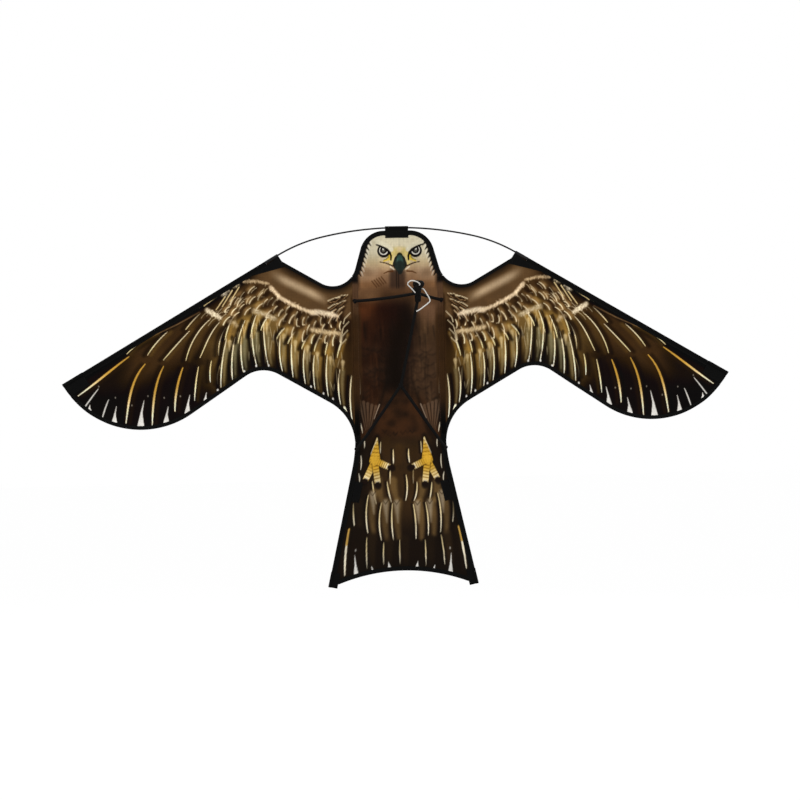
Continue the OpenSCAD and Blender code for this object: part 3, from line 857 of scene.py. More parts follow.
GOLD_QUILLS = (
    [on_spar(LEADING_LENGTH - back, deep) for back, deep in ((136, 17.5), (90, 22.5), (46, 28), (14, 31))],
    ((490, 439), (507, 415), (521, 374), (529, 326)),
    ((455, 434), (469, 399), (476, 361), (479, 321)),
    ((418, 431), (427, 404), (433, 374), (435, 347)),
)
PALE_QUILLS = (
    ((388, 432), (394, 398), (397, 367)),
    ((363, 443), (366, 424), (366, 402)),
    ((341, 443), (349, 427), (352, 398)),
)
THIN_QUILLS = (
    ((446, 500), (465, 482), (485, 456)),
    ((470, 496), (506, 475), (524, 459)),
    ((403, 502), (428, 476), (455, 446)),
    ((363, 524), (386, 500), (403, 471), (412, 444)),
    ((345, 518), (366, 489), (379, 462), (385, 449)),
    ((382, 535), (402, 515), (411, 504)),
    ((334, 507), (345, 484), (349, 453)),
)
TIP_LINES = (
    ((580, 393), (598, 370), (615, 346)),
    ((561, 372), (569, 352), (576, 330)),
)


def paint_primaries(canvas, rng):
    """Dark outer feathers with golden shafts, and the thin shafts of their coverts."""
    for curve in THIN_QUILLS:
        vane = paint("#5f4a25") * (0.8 + 0.4 * rng.random())
        paint_quill(canvas, curved(curve), vane, 16, 2.1, (CREAM, STRAW), 0.5, 0.5)
    canvas.stroke([(384, 537), (427, 514), (478, 491)], 2.6, 1.4, TAN, 0.6, soft=2.5)
    for curve in GOLD_QUILLS:
        paint_quill(canvas, curved(curve), paint("#33240f"), 18, 4.4, (GOLD * 0.93, PALE), 0.45, 0.45)
    for curve in PALE_QUILLS:
        paint_quill(canvas, curved(curve), paint("#54421f"), 15, 2.7, (STRAW, PALE), 0.5, 0.45)
    for curve in TIP_LINES:
        canvas.stroke(curved(curve), 2.6, 2.2, ASH, 0.9, taper=0.6)
    canvas.spot((630, 362), 2.2, 2.2, ASH, 0.9, soft=0.4)


COVERT_ROWS = 4
COVERTS_IN_ROW = 11
HAIRS = 24


def paint_coverts(canvas, rng):
    """Small feathers over the arm: dark scallops, each with a curved pale stroke hooked at its end."""
    for row in range(COVERT_ROWS):
        for k in range(COVERTS_IN_ROW):
            x = 108 + 225 * (k + 0.5 * (row % 2) + 0.3 * rng.random()) / COVERTS_IN_ROW
            root = wing_point(x, 0.045 + 0.062 * row + 0.015 * rng.normal())
            size = 14 + 7 * rng.random()
            angle = -80 + 32 * smooth(130, 280, x) + 6 * rng.normal()
            end = root + size * heading(angle)
            middle = (root + end) / 2
            canvas.spot(middle - (6, 0), size * 0.55, size * 0.26, BARK, 0.65, soft=0.7, tilt=angle)
            canvas.spot(middle + (4, 1), size * 0.5, size * 0.24, paint("#a08055"), 0.6, soft=0.8, tilt=angle)
            if rng.random() < 0.85:
                tone = CREAM * (0.86 + 0.18 * rng.random())
                canvas.stroke(bent(root, end, 1.8), 1.4, 2.4, tone, 0.92)
            if rng.random() < 0.45:
                canvas.stroke([end, end - (5.5, 0.5)], 2.0, 0.9, CREAM, 0.75)


def paint_hairs(canvas, rng):
    """Fine pale feather edges along the leading edge."""
    for _ in range(HAIRS):
        root = on_spar(38 + 135 * rng.random(), 22 + 24 * rng.random())
        end = root + (11 + 9 * rng.random()) * heading(-46 + 10 * rng.normal())
        canvas.stroke(bent(root, end, 1.0), 1.3, 1.0, CREAM * (0.7 + 0.25 * rng.random()), 0.7)


def paint_down(canvas, rng, path, width, colour, alpha):
    """Soft ragged band of down along a path."""
    path = np.array(path, float)
    canvas.stroke(path, width * 0.7, width, colour, alpha * 0.8, soft=width * 0.7)
    total = lengths(path)[-1]
    for _ in range(int(total * 1.6)):
        root = along(path, rng.random() * total) + rng.normal(0, width * 0.24, 2)
        end = root + width * (0.25 + 0.45 * rng.random()) * heading(-115 + 40 * rng.normal())
        canvas.stroke([root, end], 2.0, 0.9, colour * (0.85 + 0.25 * rng.random()), alpha * 0.55, soft=1.6)


DOWN_BANDS = (
    (((121, 526), (138, 531), (156, 534), (168, 533)), 10, "#e4cfb0", 0.95),
    (((165, 533), (188, 541), (202, 548), (228, 563), (246, 583)), 7.5, "#dcc4a2", 0.9),
    (((250, 590), (275, 596), (298, 595)), 6, "#c7ae8a", 0.6),
    (((115, 492), (142, 495), (168, 500)), 9, "#cdb58e", 0.75),
    (((238, 522), (259, 532), (279, 538)), 10, "#baa98b", 0.65),
    (((344, 526), (356, 533), (369, 541)), 9, "#e2d2b4", 0.85),
    (((312, 510), (318, 516), (326, 518)), 8, "#b39f7e", 0.5),
    (((309, 590), (317, 586)), 9, "#c9b998", 0.6),
    (((329, 578), (338, 572)), 11, "#d8cbb0", 0.65),
)
FRONT_SHAFTS = (
    ((362, 562), (385, 546)),
    ((350, 567), (375, 549)),
    ((334, 566), (352, 541)),
    ((320, 578), (340, 547)),
    ((307, 584), (324, 557)),
)


def paint_front_edge(canvas):
    """Darker cloth with short pale shafts along the leading edge beyond the wrist."""
    depth = wing_top(canvas.x) - canvas.z
    dark = smooth(34, 14, depth) * smooth(285, 330, canvas.x) * smooth(430, 380, canvas.x)
    canvas.cover(dark * 0.45, SOOT)
    for top, low in FRONT_SHAFTS:
        canvas.stroke([top, low], 2.4, 1.6, STRAW, 0.8, soft=1.4)


def paint_patagium(canvas):
    """Plain brown band between the neck edge and the down, with a soft light along it."""
    over = canvas.z - arm_z(canvas.x)
    band = smooth(-4, 8, over) * smooth(300, 250, canvas.x)
    depth = np.clip(over / np.maximum(wing_top(canvas.x) - arm_z(canvas.x), 1), 0, 1)
    tone = paint("#4c3a27") * (1.15 - 0.65 * smooth(0.66, 0.95, depth))[:, None]
    canvas.cover(band, tone)
    slope = 567 + (canvas.x - 161) * 0.50
    light = smooth(16, 0, np.abs(canvas.z - slope)) * smooth(125, 168, canvas.x) * smooth(254, 214, canvas.x)
    canvas.cover(light * 0.72, paint("#c0a98a"))


def paint_scapulars(canvas):
    """Pointed feathers with pale outlines where the wing meets the shoulder."""
    for row in range(4):
        for k in range(2):
            root = np.array([97 + 15 * k + 4 * row, 566 - 11 * row - 5 * k])
            tip = root + np.array([24 - 4 * row, -6 - 3.5 * row])
            canvas.spot((root + tip) / 2 + (0, -4), 13, 4.5, BARK, 0.75, soft=0.5, tilt=-22 - 8 * row)
            canvas.stroke([root, (root + tip) / 2 + (0, 2), tip], 1.3, 1.7, CREAM, 0.8)
            canvas.stroke([root, root + (9, -8), tip + (-3, -3)], 1.1, 1.3, TAN, 0.7)
    for k in range(4):
        root = np.array([96 + 3 * k, 522 - 17 * k])
        canvas.stroke([root + (-3, 9), root + (8, -2), root + (11, -12)], 1.3, 1.7, CREAM, 0.8)


EDGE_GAPS = ((598, 10, 8), (551, 30, 10), (501, 49, 13), (452, 30, 11), (411, 34, 11), (376, 15, 7))
EDGE_DOTS = (352, 300, 277, 253, 172, 148, 130)


def paint_edge_gaps(canvas):
    """Light gaps between the feather ends along the wing tip, and small dots along the inner edge."""
    for x, rise, base in EDGE_GAPS:
        foot = np.array([x, wing_bottom(x) + TRAILING_TAPE_W])
        top = foot + (-0.15 * rise, rise)
        middle = foot + (-0.04 * rise, 0.5 * rise)
        canvas.stroke([top, middle, foot + (0, -2)], 2.0, base * 0.9, BARK, 0.7, soft=5)
        canvas.stroke([top, middle], 1.0, base * 0.30, ASH * 0.95, 0.95)
        canvas.stroke([middle, foot], base * 0.30, base, ASH * 0.95, 0.97)
    for x in EDGE_DOTS:
        canvas.spot((x, wing_bottom(x) + TRAILING_TAPE_W + 3), 1.8, 2.6, ASH, 0.9, soft=0.4)
    foot = np.array([101, wing_bottom(101) + TRAILING_TAPE_W])
    canvas.stroke([foot + (7, 17), foot + (3, 8), foot], 4.6, 0.9, PALE, 0.92)
    for k in range(6):
        x = 424 + 31 * k
        canvas.spot((x, wing_bottom(x) + 46 + 9 * (k % 3)), 1.3, 1.9, ASH, 0.45, soft=0.6)


def wing_print(x, z):
    rng = np.random.default_rng(WING_SEED)
    canvas = Print(x, z, WING_GROUND)
    paint_wing_ground(canvas)
    paint_primaries(canvas, rng)
    paint_lower_shafts(canvas, rng)
    paint_upper_shafts(canvas, rng)
    paint_barbs(canvas, rng)
    paint_coverts(canvas, rng)
    paint_hairs(canvas, rng)
    paint_patagium(canvas)
    paint_scapulars(canvas)
    paint_front_edge(canvas)
    for path, width, code, alpha in DOWN_BANDS:
        paint_down(canvas, rng, path, width, paint(code), alpha)
    paint_edge_gaps(canvas)
    canvas.contrast(WING_CONTRAST, WING_MIDDLE)
    canvas.cover(smooth(94, 90, canvas.x) * smooth(575, 555, canvas.z) * 0.85, ROOT_BROWN)
    finish_print(canvas)
    return canvas.rgb


def finish_print(canvas):
    """Faint unevenness of the ink."""
    coarse = noise(canvas.side / 23 + 7, canvas.z / 23)
    fine = noise(canvas.side / 3, canvas.z / 3)
    canvas.shade(0.92 + 0.14 * coarse + 0.05 * fine)


# Body, head and tail
EYE = np.array([30.8, 649.9])
EYE_BROW = np.array([
    (45, 662.3), (38.5, 659.9), (32, 656.9), (24.8, 652.5), (19.2, 646.8), (16.8, 640.4), (17.2, 632.3)
])
INK = "#0c0906"
RED_BROWN = paint("#40200d")
WARM_BROWN = paint("#49331f")
LOW_LEFT = paint("#251308")
LOW_RIGHT = paint("#3c291a")
BELLY = paint("#3e2513")
STREAKS = 150
SCALLOPS = 90
CHEST_SPOTS = (
    (Print.spot, (-20, 538), 28, 32, "#1c0a05", 0.75, 0.8),
    (Print.spot, (-66, 546), 20, 28, "#65371b", 0.85, 0.7),
    (Print.spot, (-44, 490), 44, 46, "#180a04", 0.45, 0.8),
    (Print.spot, (18, 476), 20, 52, "#120804", 0.5, 0.8),
    (Print.spot, (62, 545), 24, 32, "#78563e", 0.75, 0.75),
)


def paint_chest(canvas, rng):
    """Dark breast with soft lengthwise streaks, redder on one side as if lit from the other."""
    canvas.unfold()
    z = canvas.z
    canvas.cover(smooth(-4, -30, canvas.side), LOW_LEFT)
    canvas.cover(smooth(8, 36, canvas.side), LOW_RIGHT)
    upper = smooth(430, 530, z)
    canvas.cover(upper * smooth(-6, -36, canvas.side), RED_BROWN)
    canvas.cover(upper * smooth(12, 44, canvas.side), WARM_BROWN)
    for k in range(STREAKS):
        x = -78 + 156 * rng.random()
        top = 320 + 240 * rng.random()
        run = 18 + 28 * rng.random()
        tint = paint("#7a4a28") if x < 0 else paint("#73563a")
        tone, alpha = (SOOT, 0.34) if k % 2 else (tint, 0.12 if x < 0 else 0.22)
        canvas.stroke([(x, top), (x + 2 * rng.normal(), top - run)], 4.5, 1.5, tone, alpha, soft=4)
    for _ in range(SCALLOPS):
        x = -70 + 140 * rng.random()
        low = 330 + 130 * rng.random()
        wide = 6 + 5 * rng.random()
        canvas.spot((x, low + 10), wide, 9, paint("#6a4c34"), 0.08 if x < 0 else 0.16, soft=0.9)
        canvas.stroke(bent((x - wide, low + 8), (x + wide, low + 8), -5), 3.0, 3.0, SOOT, 0.30, soft=5)
    # Dark core of the breast: print, which bends at its top under the bridle stem, where it is painted shadow
    # of the stem.
    stem_shadow_shift = 22 * smooth(440, 550, z) - 7
    core = smooth(42, 2, np.abs(canvas.side - stem_shadow_shift))
    canvas.cover(core * smooth(330, 400, z) * smooth(580, 500, z) * 0.95, paint("#0d0602"))
    canvas.marks(CHEST_SPOTS)
    canvas.fold()


def paint_belly(canvas, rng):
    z = canvas.z
    canvas.cover(smooth(0.76, 0.94, canvas.x / half_width(z)) * smooth(400, 340, z) * 0.85, SOOT)
    fan = smooth(46, 18, canvas.x - 0.55 * (388 - z))
    canvas.cover(fan * smooth(262, 296, z) * smooth(392, 350, z) * 0.9, BELLY)
    canvas.unfold()
    for k in range(9):
        x = -30 + 7.5 * k + 2 * rng.normal()
        top = 294 + 3 * rng.normal()
        mark = [(x - 4, top + 5), (x, top), (x + 4, top + 5)]
        canvas.stroke(mark, 2.4, 1.6, SOOT, 0.5 * rng.random(), soft=3)
    for _ in range(26):
        x = -34 + 68 * rng.random()
        top = 296 + 74 * rng.random()
        canvas.spot((x, top), 5 + 5 * rng.random(), 4 + 4 * rng.random(), SOOT, 0.22, soft=0.9)
    canvas.fold()
    canvas.stroke([(24, 400), (46, 330), (62, 286)], 2, 14, SOOT, 0.6, soft=10)
    for k in range(5):
        top = np.array([79 - 8.0 * k, 360 - 3 * k])
        foot = np.array([68 - 2.5 * k, 303 + 1.5 * k])
        canvas.stroke([top, foot], 6.5, 1.5, paint("#6f5743"), 0.6, soft=2.5)
        canvas.stroke([top + (4, 0), foot + (1.5, 0)], 1.6, 0.8, SOOT, 0.6, soft=1.6)
    canvas.stroke([(40, 352), (51, 324)], 2.4, 1.2, paint("#a08872"), 0.9)


TAIL_SHAFTS = (
    ((-15, 264), (-15, 250), (-15, 237)), ((15, 264), (15, 250), (16.5, 238)),
    ((-39, 279), (-40, 268), (-40, 257)), ((39, 279), (40, 268), (40, 257)),
    ((-21.5, 225), (-22, 212), (-22, 198)), ((23.5, 225), (23, 212), (23, 198)),
    ((-57, 203), (-54, 180), (-50, 159)), ((-28, 201), (-25, 180), (-20.5, 162)),
    ((9, 214), (11, 194), (7.5, 165)), ((30, 199), (29, 180), (24, 164)),
    ((59, 199), (57, 180), (53.5, 162)), ((-65, 177), (-69.5, 150), (-67.5, 103)),
    ((-40, 160), (-44.5, 132), (-41.5, 89)), ((-18.5, 159), (-20.5, 129), (-18, 89)),
    ((22, 157), (25.5, 129), (26, 89)), ((46, 159), (50, 132), (50, 96)),
    ((70, 177), (74.5, 150), (74, 101)), ((-94.5, 160), (-95, 140), (-93.5, 118)),
    ((99, 160), (100, 140), (98, 122)), ((-70, 94), (-71, 64), (-70.5, 34)),
    ((-37, 83), (-38, 62), (-38, 41)), ((-5.7, 87), (-6.2, 64), (-5.8, 41)),
    ((44, 87), (44.5, 62), (44.5, 37)), ((75, 96), (79, 68), (81, 39)),
)
TAIL_QUILLS = (
    ((-104, 111), (-110.5, 74), (-114, 22)),
    ((109, 112), (116.5, 76), (123, 29)),
)
UPPER_VANE = paint("#36240f")
DARK_VANE = paint("#20160b")
LIT_VANE = paint("#7d6138")


def paint_tail_feather(canvas, curve, tone, shaft_w, dim):
    """Vane on one side of a pale shaft and a thin shadow on the other."""
    canvas.stroke(curve + (11, 2), 17, 9, tone, 0.6, soft=9)
    canvas.stroke(curve - (3.4, 0), 4.0, 4.0, SOOT, 0.65, soft=3.5)
    where, place, mask = canvas.stroke(curve, shaft_w, shaft_w * 0.8, STRAW * dim, 0.95, taper=0.6)
    canvas.cover(mask * smooth(0.3, 0.9, place), PALE * dim, where)


def paint_tail(canvas, rng):
    z = canvas.z
    tail = smooth(300, 268, z)
    canvas.cover(tail, paint("#150d07"))
    middle = smooth(84, 30, canvas.x) * smooth(84, 150, z)
    canvas.cover(tail * middle * 0.7, paint("#402c16"))
    canvas.unfold()
    for curve in TAIL_SHAFTS:
        curve = curved(curve)
        top = curve[0, 1]
        lit = smooth(80, 150, top) * smooth(100, 70, abs(curve[0, 0]))
        vane = DARK_VANE + lit * (LIT_VANE - DARK_VANE) if top < 206 else UPPER_VANE
        dim = 0.9 if top < 100 else 1.0
        paint_tail_feather(canvas, curve, vane * (0.85 + 0.3 * rng.random()), 2.8 * dim, dim)
        if 150 < top < 180 and abs(curve[0, 0]) < 80:
            gleam = curve[0] + (8, -3)
            canvas.stroke([gleam + (0, 4), gleam + (2, -34)], 12, 2.0, paint("#a99a82"), 0.6, soft=7)
            canvas.stroke([gleam + (-5, 8), gleam + (0, 1), gleam + (6, 9)], 1.4, 1.4, BARK, 0.7, soft=2)
    canvas.fold()
    paint_tail_edges(canvas)
    canvas.unfold()
    for curve in TAIL_QUILLS:
        curve = curved(curve)
        paint_quill(canvas, curve, BARK, 14, 4.2, (PALE, PALE), 0.3, 0.4)
        canvas.stroke(curve[:4], 3.4, 4.0, GOLD * 0.93, 0.95, soft=1.4)
    canvas.fold()


SIDE_STROKES = (
    ((80, 424), (77, 372)),
    ((81, 324), (74, 298)),
    ((72, 287), (71, 268)),
    ((78, 253), (79, 226)),
    ((83, 218), (82, 202)),
)
HEM_GAPS = ((27, 11, 6.5), (60, 7, 4), (92, 36, 9))


def paint_tail_edges(canvas):
    """Dark sides and hem of the tail, with light gaps between the feather ends."""
    z = canvas.z
    edge = canvas.x / half_width(z)
    canvas.cover(smooth(0.84, 0.95, edge) * smooth(236, 200, z) * 0.7, SOOT)
    canvas.cover(smooth(30, 10, z - hem_z(np.minimum(canvas.x, 150))) * smooth(120, 60, z) * 0.4, SOOT)
    for x, rise, base in HEM_GAPS:
        foot = np.array([x, hem_z(x) + HEM_TAPE_W - 0.5])
        canvas.stroke([foot + (2, rise), foot + (1, rise * 0.5)], 0.8, base * 0.35, ASH, 0.95)
        canvas.stroke([foot + (1, rise * 0.5), foot], base * 0.35, base, ASH, 0.96)
    canvas.spot((92, 70), 1.6, 2.4, ASH, 0.6, soft=0.5)
    for head, foot in SIDE_STROKES:
        canvas.stroke(bent(head, foot, -1.0), 2.4, 2.0, PALE, 0.85, taper=0.5)


YELLOW = paint("#d2a233")
OCHRE = paint("#7d520c")
LEG_TOP = np.array([46.0, 286.0])
PALM = np.array([51.0, 243.0])
TOES = (np.array([69.0, 208.0]), np.array([46.5, 201.0]), np.array([25.0, 231.0]))


def paint_feet(canvas):
    canvas.stroke([LEG_TOP + (0, 4), (51, 262), PALM], 10, 30, SOOT, 0.6, soft=8)
    leg = canvas.stroke([LEG_TOP, (48.5, 268), PALM], 2.5, 22, YELLOW, 1.0, soft=1.4)
    where, place, mask = leg
    canvas.cover(mask * smooth(0.45, 0.0, place) * 0.75, paint("#e3cf9c"), where)
    paint_scales(canvas, leg, 6)
    canvas.stroke([LEG_TOP + (-1, 0), (53, 270), (59, 256)], 1.4, 1.2, PALE, 0.7, soft=0.8)
    for toe in TOES:
        run = unit(toe - PALM)
        canvas.stroke([PALM + 6 * run, toe + 8 * run], 14, 13, SOOT, 0.75, soft=5)
        mark = canvas.stroke([PALM, toe], 12.5, 11.5, YELLOW, 1.0, soft=1.2)
        where, place, mask = mark
        canvas.cover(mask * smooth(0.30, 0.85, place) * 0.75, paint("#e6d4a8"), where)
        paint_scales(canvas, mark, 7)
        aside = 4.2 * right_of(run)
        canvas.stroke([toe - 2 * run + aside, toe - 2 * run - aside], 2.0, 2.0, PALE, 0.75, soft=0.8)
        canvas.spot(toe + 5 * run, 6.6, 5.6, paint("#170d08"), 1.0, soft=0.2)
    canvas.spot(PALM + (0, 2), 8.5, 9.5, YELLOW * 1.03, 0.8, soft=0.3)


def paint_scales(canvas, mark, count):
    """Dark bands across a leg or toe."""
    where, place, mask = mark
    turn = (place * count) % 1.0
    canvas.cover(mask * smooth(0.50, 0.75, turn) * smooth(1.0, 0.82, turn) * 0.8, OCHRE, where)


NECK_TONES = (
    (538, 566, 1.0, "#3d2817"),
    (558, 582, 1.0, "#5e4029"),
    (574, 598, 1.0, "#886548"),
    (592, 616, 1.0, "#ab8966"),
)
FLANK_TONES = (
    (546, 562, 0.9, "#6e4e33"),
    (572, 588, 1.0, "#855e3d"),
    (584, 600, 1.0, "#a38161"),
    (596, 612, 1.0, "#b89877"),
)
FACE_TONES = (
    (606, 634, 1.0, "#c4ae85"),
    (624, 650, 1.0, "#d8cdae"),
    (664, 690, 0.5, "#c4c0aa"),
)


def paint_head(canvas, rng):
    """Cream face over a tan neck that darkens towards the bridle."""
    z = canvas.z
    canvas.tones(NECK_TONES)
    canvas.tones(FLANK_TONES, smooth(22, 52, canvas.x))
    canvas.tones(FACE_TONES)
    throat = smooth(21, 10, canvas.x) * smooth(570, 584, z) * smooth(620, 608, z)
    canvas.cover(throat * 0.85, paint("#33231a"))
    canvas.stroke([(2, 612), (2, 578)], 2.4, 1.6, SOOT, 0.6, soft=2)
    for _ in range(30):
        start = np.array([20 + 52 * rng.random(), 566 + 50 * rng.random()])
        canvas.spot(start, 7 + 6 * rng.random(), 5 + 4 * rng.random(), paint("#4f3621"), 0.09, soft=0.9)
    for _ in range(30):
        start = np.array([4 + 52 * rng.random(), 632 + 46 * rng.random()])
        canvas.stroke([start, start + (1.5 * rng.normal(), -8)], 3.0, 1.4, paint("#b9ab8c"), 0.25, soft=4)
    canvas.unfold()
    for k in range(5):
        start = np.array([-50 + 4.6 * k, 592 + 2.0 * k])
        canvas.stroke([start, start + (9, -12)], 2.2, 2.4, paint("#4a2f1a"), 0.85, soft=1.4)
    canvas.fold()
    paint_ragged_sides(canvas)
    paint_face(canvas)


def paint_ragged_sides(canvas):
    """Dark feather points along the sides of the head."""
    inset = np.maximum(half_width(canvas.z), 1) - canvas.x
    canvas.cover(smooth(13, 9, inset) * smooth(600, 622, canvas.z) * smooth(674, 662, canvas.z), SOOT)
    for k in range(8):
        z = 666 - 8.4 * k
        start = np.array([half_width(z) - 9, z])
        canvas.stroke([start + (2, 4), start + (-6.5 + 0.3 * k, -6)], 6.5, 1.0, SOOT, 0.97, soft=1.2)
        canvas.stroke([start + (-5, 3), start + (-8, -5)], 2.6, 1.2, paint("#f4efe2"), 0.5, soft=2)
    lower = smooth(13, 5, inset) * smooth(636, 600, canvas.z) * smooth(566, 590, canvas.z)
    canvas.cover(lower * 0.75, paint("#2c1e13"))


FACE_SHIFT = 5.0
FACE_LIGHTS = (
    (Print.stroke, [(0, 678), (0, 660)], 4.2, 3.0, "#b5ab8f", 0.45, 4),
    (Print.spot, (0, 647.5), 19, 9.5, "#c9b266", 0.85, 0.55),
    (Print.spot, (0, 652.5), 5, 5, "#dcc497", 0.8, 0.7),
    (Print.stroke, [(13, 647), (15, 637), (17, 626)], 8.0, 6.5, "#ddc67c", 0.9, 4),
    (Print.stroke, [(18.5, 641), (21.5, 634.5), (31, 630.5)], 7.5, 2.5, "#e0bb3c", 0.95, 2.2),
)
BEAK = (
    (Print.stroke, [(0, 641), (0, 637), (0, 631.5)], 11, 23, "#17160b", 1.0, 1.2),
    (Print.stroke, [(0, 631.5), (0, 625)], 22, 27.5, "#17160b", 1.0, 1.2),
    (Print.stroke, [(0, 625), (0, 609)], 26, 9, "#1e211c", 1.0, 1.2),
    (Print.stroke, [(0, 637), (0, 620)], 11, 18, "#2f4a42", 0.95, 5),
    (Print.stroke, [(4.0, 634), (5.5, 627), (4.5, 619)], 1.4, 3.2, "#557468", 0.45, 3),
    (Print.stroke, [(0, 621), (0, 610)], 20, 9, "#191b18", 0.75, 6),
)
MOUTH = (
    (Print.stroke, [(38.5, 628.7), (28, 626.7), (20, 623.5), (11.9, 619.9)], 1.6, 2.8, "#24120a", 0.97, 1.1),
    (Print.stroke, [(18.4, 619), (11.1, 613.8)], 2.4, 1.6, "#efe6d4", 0.75, 1.6),
    (Print.stroke, [(31.3, 606.6), (24, 609.8), (14, 610.6)], 1.6, 3.6, "#4a2810", 0.9, 1.6),
)
EYES = (
    (Print.spot, EYE, 12.6, 12.8, INK, 1.0, 0.05),
    (Print.spot, EYE + (0.2, 1.0), 8.7, 8.7, "#efe9da", 1.0, 0.08),
    (Print.spot, EYE + (0.4, 1.4), 6.9, 6.9, INK, 1.0, 0.08),
    (Print.spot, EYE + (0.4, 1.0), 3.4, 3.4, "#57554a", 1.0, 0.2),
    (Print.spot, EYE + (0.4, 4.0), 2.2, 2.2, "#f4efe2", 1.0, 0.2),
    (Print.stroke, EYE_BROW[:5] + (-2.8, 5.6), 9.0, 9.0, "#dcd3b6", 1.0, 1.5),
    (Print.stroke, EYE_BROW[:4], 2.4, 5.2, INK, 1.0, 1.1),
    (Print.stroke, EYE_BROW[3:], 5.2, 2.6, INK, 1.0, 1.1),
    (Print.stroke, [(31.3, 632.3), (26.4, 633.9), (21.6, 638.4)], 1.4, 2.2, "#6a6238", 0.85, 1.1),
)


def paint_face(canvas):
    """Beak, mouth and eyes, which the print sets a little to one side."""
    canvas.x = np.abs(canvas.side - FACE_SHIFT)
    for rows in (FACE_LIGHTS, BEAK, MOUTH, EYES):
        canvas.marks(rows)
    canvas.fold()


def body_print(x, z):
    rng = np.random.default_rng(BODY_SEED)
    canvas = Print(x, z, BODY_GROUND)
    paint_chest(canvas, rng)
    paint_belly(canvas, rng)
    paint_tail(canvas, rng)
    paint_feet(canvas)
    paint_head(canvas, rng)
    canvas.cover(smooth(70, 75, canvas.x) * smooth(330, 400, z) * smooth(560, 510, z) * 0.8, ROOT_BROWN)
    finish_print(canvas)
    return canvas.rgb


def root_print(z):
    """Tones of the wing root tunnels, which match the neck at their tops."""
    neck = smooth(506, 556, z)[:, None]
    top = smooth(584, 594, z)[:, None]
    tone = ROOT_BROWN * (1 - neck) + paint("#563c28") * neck
    tone = tone * (1 - 0.93 * top) * smooth(306, 380, z)[:, None]
    return tone * (0.92 + 0.14 * noise(z / 9, z / 31))[:, None]


# Materials
def new_material(name):
    material = bpy.data.materials.new(name)
    material.use_nodes = True
    tree = material.node_tree
    shader = tree.nodes["Principled BSDF"]
    return material, tree, shader


def node(tree, kind, **values):
    made = tree.nodes.new(kind)
    for key, value in values.items():
        setattr(made, key, value)
    return made


def feed(tree, socket, value):
    """Sets a socket to a number or colour, or links it to another node's result."""
    if isinstance(value, (int, float, tuple)):
        socket.default_value = value
    else:
        tree.links.new(value, socket)


def math_node(tree, operation, *values):
    made = node(tree, "ShaderNodeMath", operation=operation)
    for socket, value in zip(made.inputs, values):
        feed(tree, socket, value)
    return made.outputs[0]


def object_place(tree):
    return node(tree, "ShaderNodeTexCoord").outputs["Object"]


def attribute(tree, name, result):
    return node(tree, "ShaderNodeAttribute", attribute_name=name).outputs[result]


def noise_node(tree, scale, detail=3.0):
    made = node(tree, "ShaderNodeTexNoise")
    for key, value in (("Vector", object_place(tree)), ("Scale", scale), ("Detail", detail)):
        feed(tree, made.inputs[key], value)
    return made.outputs["Fac"]


def ramp(tree, value, low, high, out_low, out_high):
    made = node(tree, "ShaderNodeMapRange")
    keys = ("Value", "From Min", "From Max", "To Min", "To Max")
    for key, number in zip(keys, (value, low, high, out_low, out_high)):
        feed(tree, made.inputs[key], number)
    return made.outputs["Result"]


def mixed(tree, factor, first, second, blend="MIX"):
    made = node(tree, "ShaderNodeMix", data_type="RGBA", blend_type=blend)
    for key, value in (("Factor", factor), ("A", first), ("B", second)):
        feed(tree, made.inputs[key], value)
    return made.outputs["Result"]


def dress(tree, shader, colour, rough, gloss, height, relief, strength=0.5):
    """Gives a shader its colour, roughness, gloss and fine relief in metres."""
    bump = node(tree, "ShaderNodeBump")
    for key, value in (("Strength", strength), ("Distance", relief), ("Height", height)):
        feed(tree, bump.inputs[key], value)
    keys = ("Base Color", "Roughness", "Specular IOR Level", "Normal")
    for key, value in zip(keys, (colour, rough, gloss, bump.outputs["Normal"])):
        feed(tree, shader.inputs[key], value)


WEAVE_PITCH = 0.0009
RIPSTOP_PITCH = 0.005
RIPSTOP_SHARPNESS = 40


def threads(tree, coordinate, period):
    """Evenly spaced ridges along one coordinate."""
    turn = math_node(tree, "MULTIPLY", coordinate, 2 * math.pi / period)
    return math_node(tree, "SINE", turn)


def grid_lines(tree, coordinate):
    """Thin lines at a wide spacing, as in ripstop cloth."""
    wave = math_node(tree, "ABSOLUTE", threads(tree, coordinate, 2 * RIPSTOP_PITCH))
    return math_node(tree, "POWER", wave, RIPSTOP_SHARPNESS)


def sail_material(name):
    """Printed ripstop: a fine weave with a slightly raised, darker grid."""
    material, tree, shader = new_material(name)
    axes = node(tree, "ShaderNodeSeparateXYZ")
    feed(tree, axes.inputs[0], object_place(tree))
    across = axes.outputs["X"]
    up = axes.outputs["Z"]
    ripstop = math_node(tree, "MAXIMUM", grid_lines(tree, across), grid_lines(tree, up))
    weave = math_node(tree, "MULTIPLY", threads(tree, across, WEAVE_PITCH), threads(tree, up, WEAVE_PITCH))
    uneven = ramp(tree, noise_node(tree, 60), 0.3, 0.7, 0.0, 1.0)
    ink = attribute(tree, "print", "Color")
    toned = mixed(tree, ramp(tree, ripstop, 0, 1, 0.0, 0.10), ink, (0.01, 0.008, 0.006, 1))
    toned = mixed(tree, 1.0, toned, ramp(tree, uneven, 0, 1, 0.92, 1.05), "MULTIPLY")
    grid_height = math_node(tree, "MULTIPLY", ripstop, 0.8)
    height = math_node(tree, "ADD", grid_height, math_node(tree, "MULTIPLY", weave, 0.25))
    dress(tree, shader, toned, ramp(tree, uneven, 0, 1, 0.55, 0.70), 0.04, height, 0.00012, 0.6)
    return material


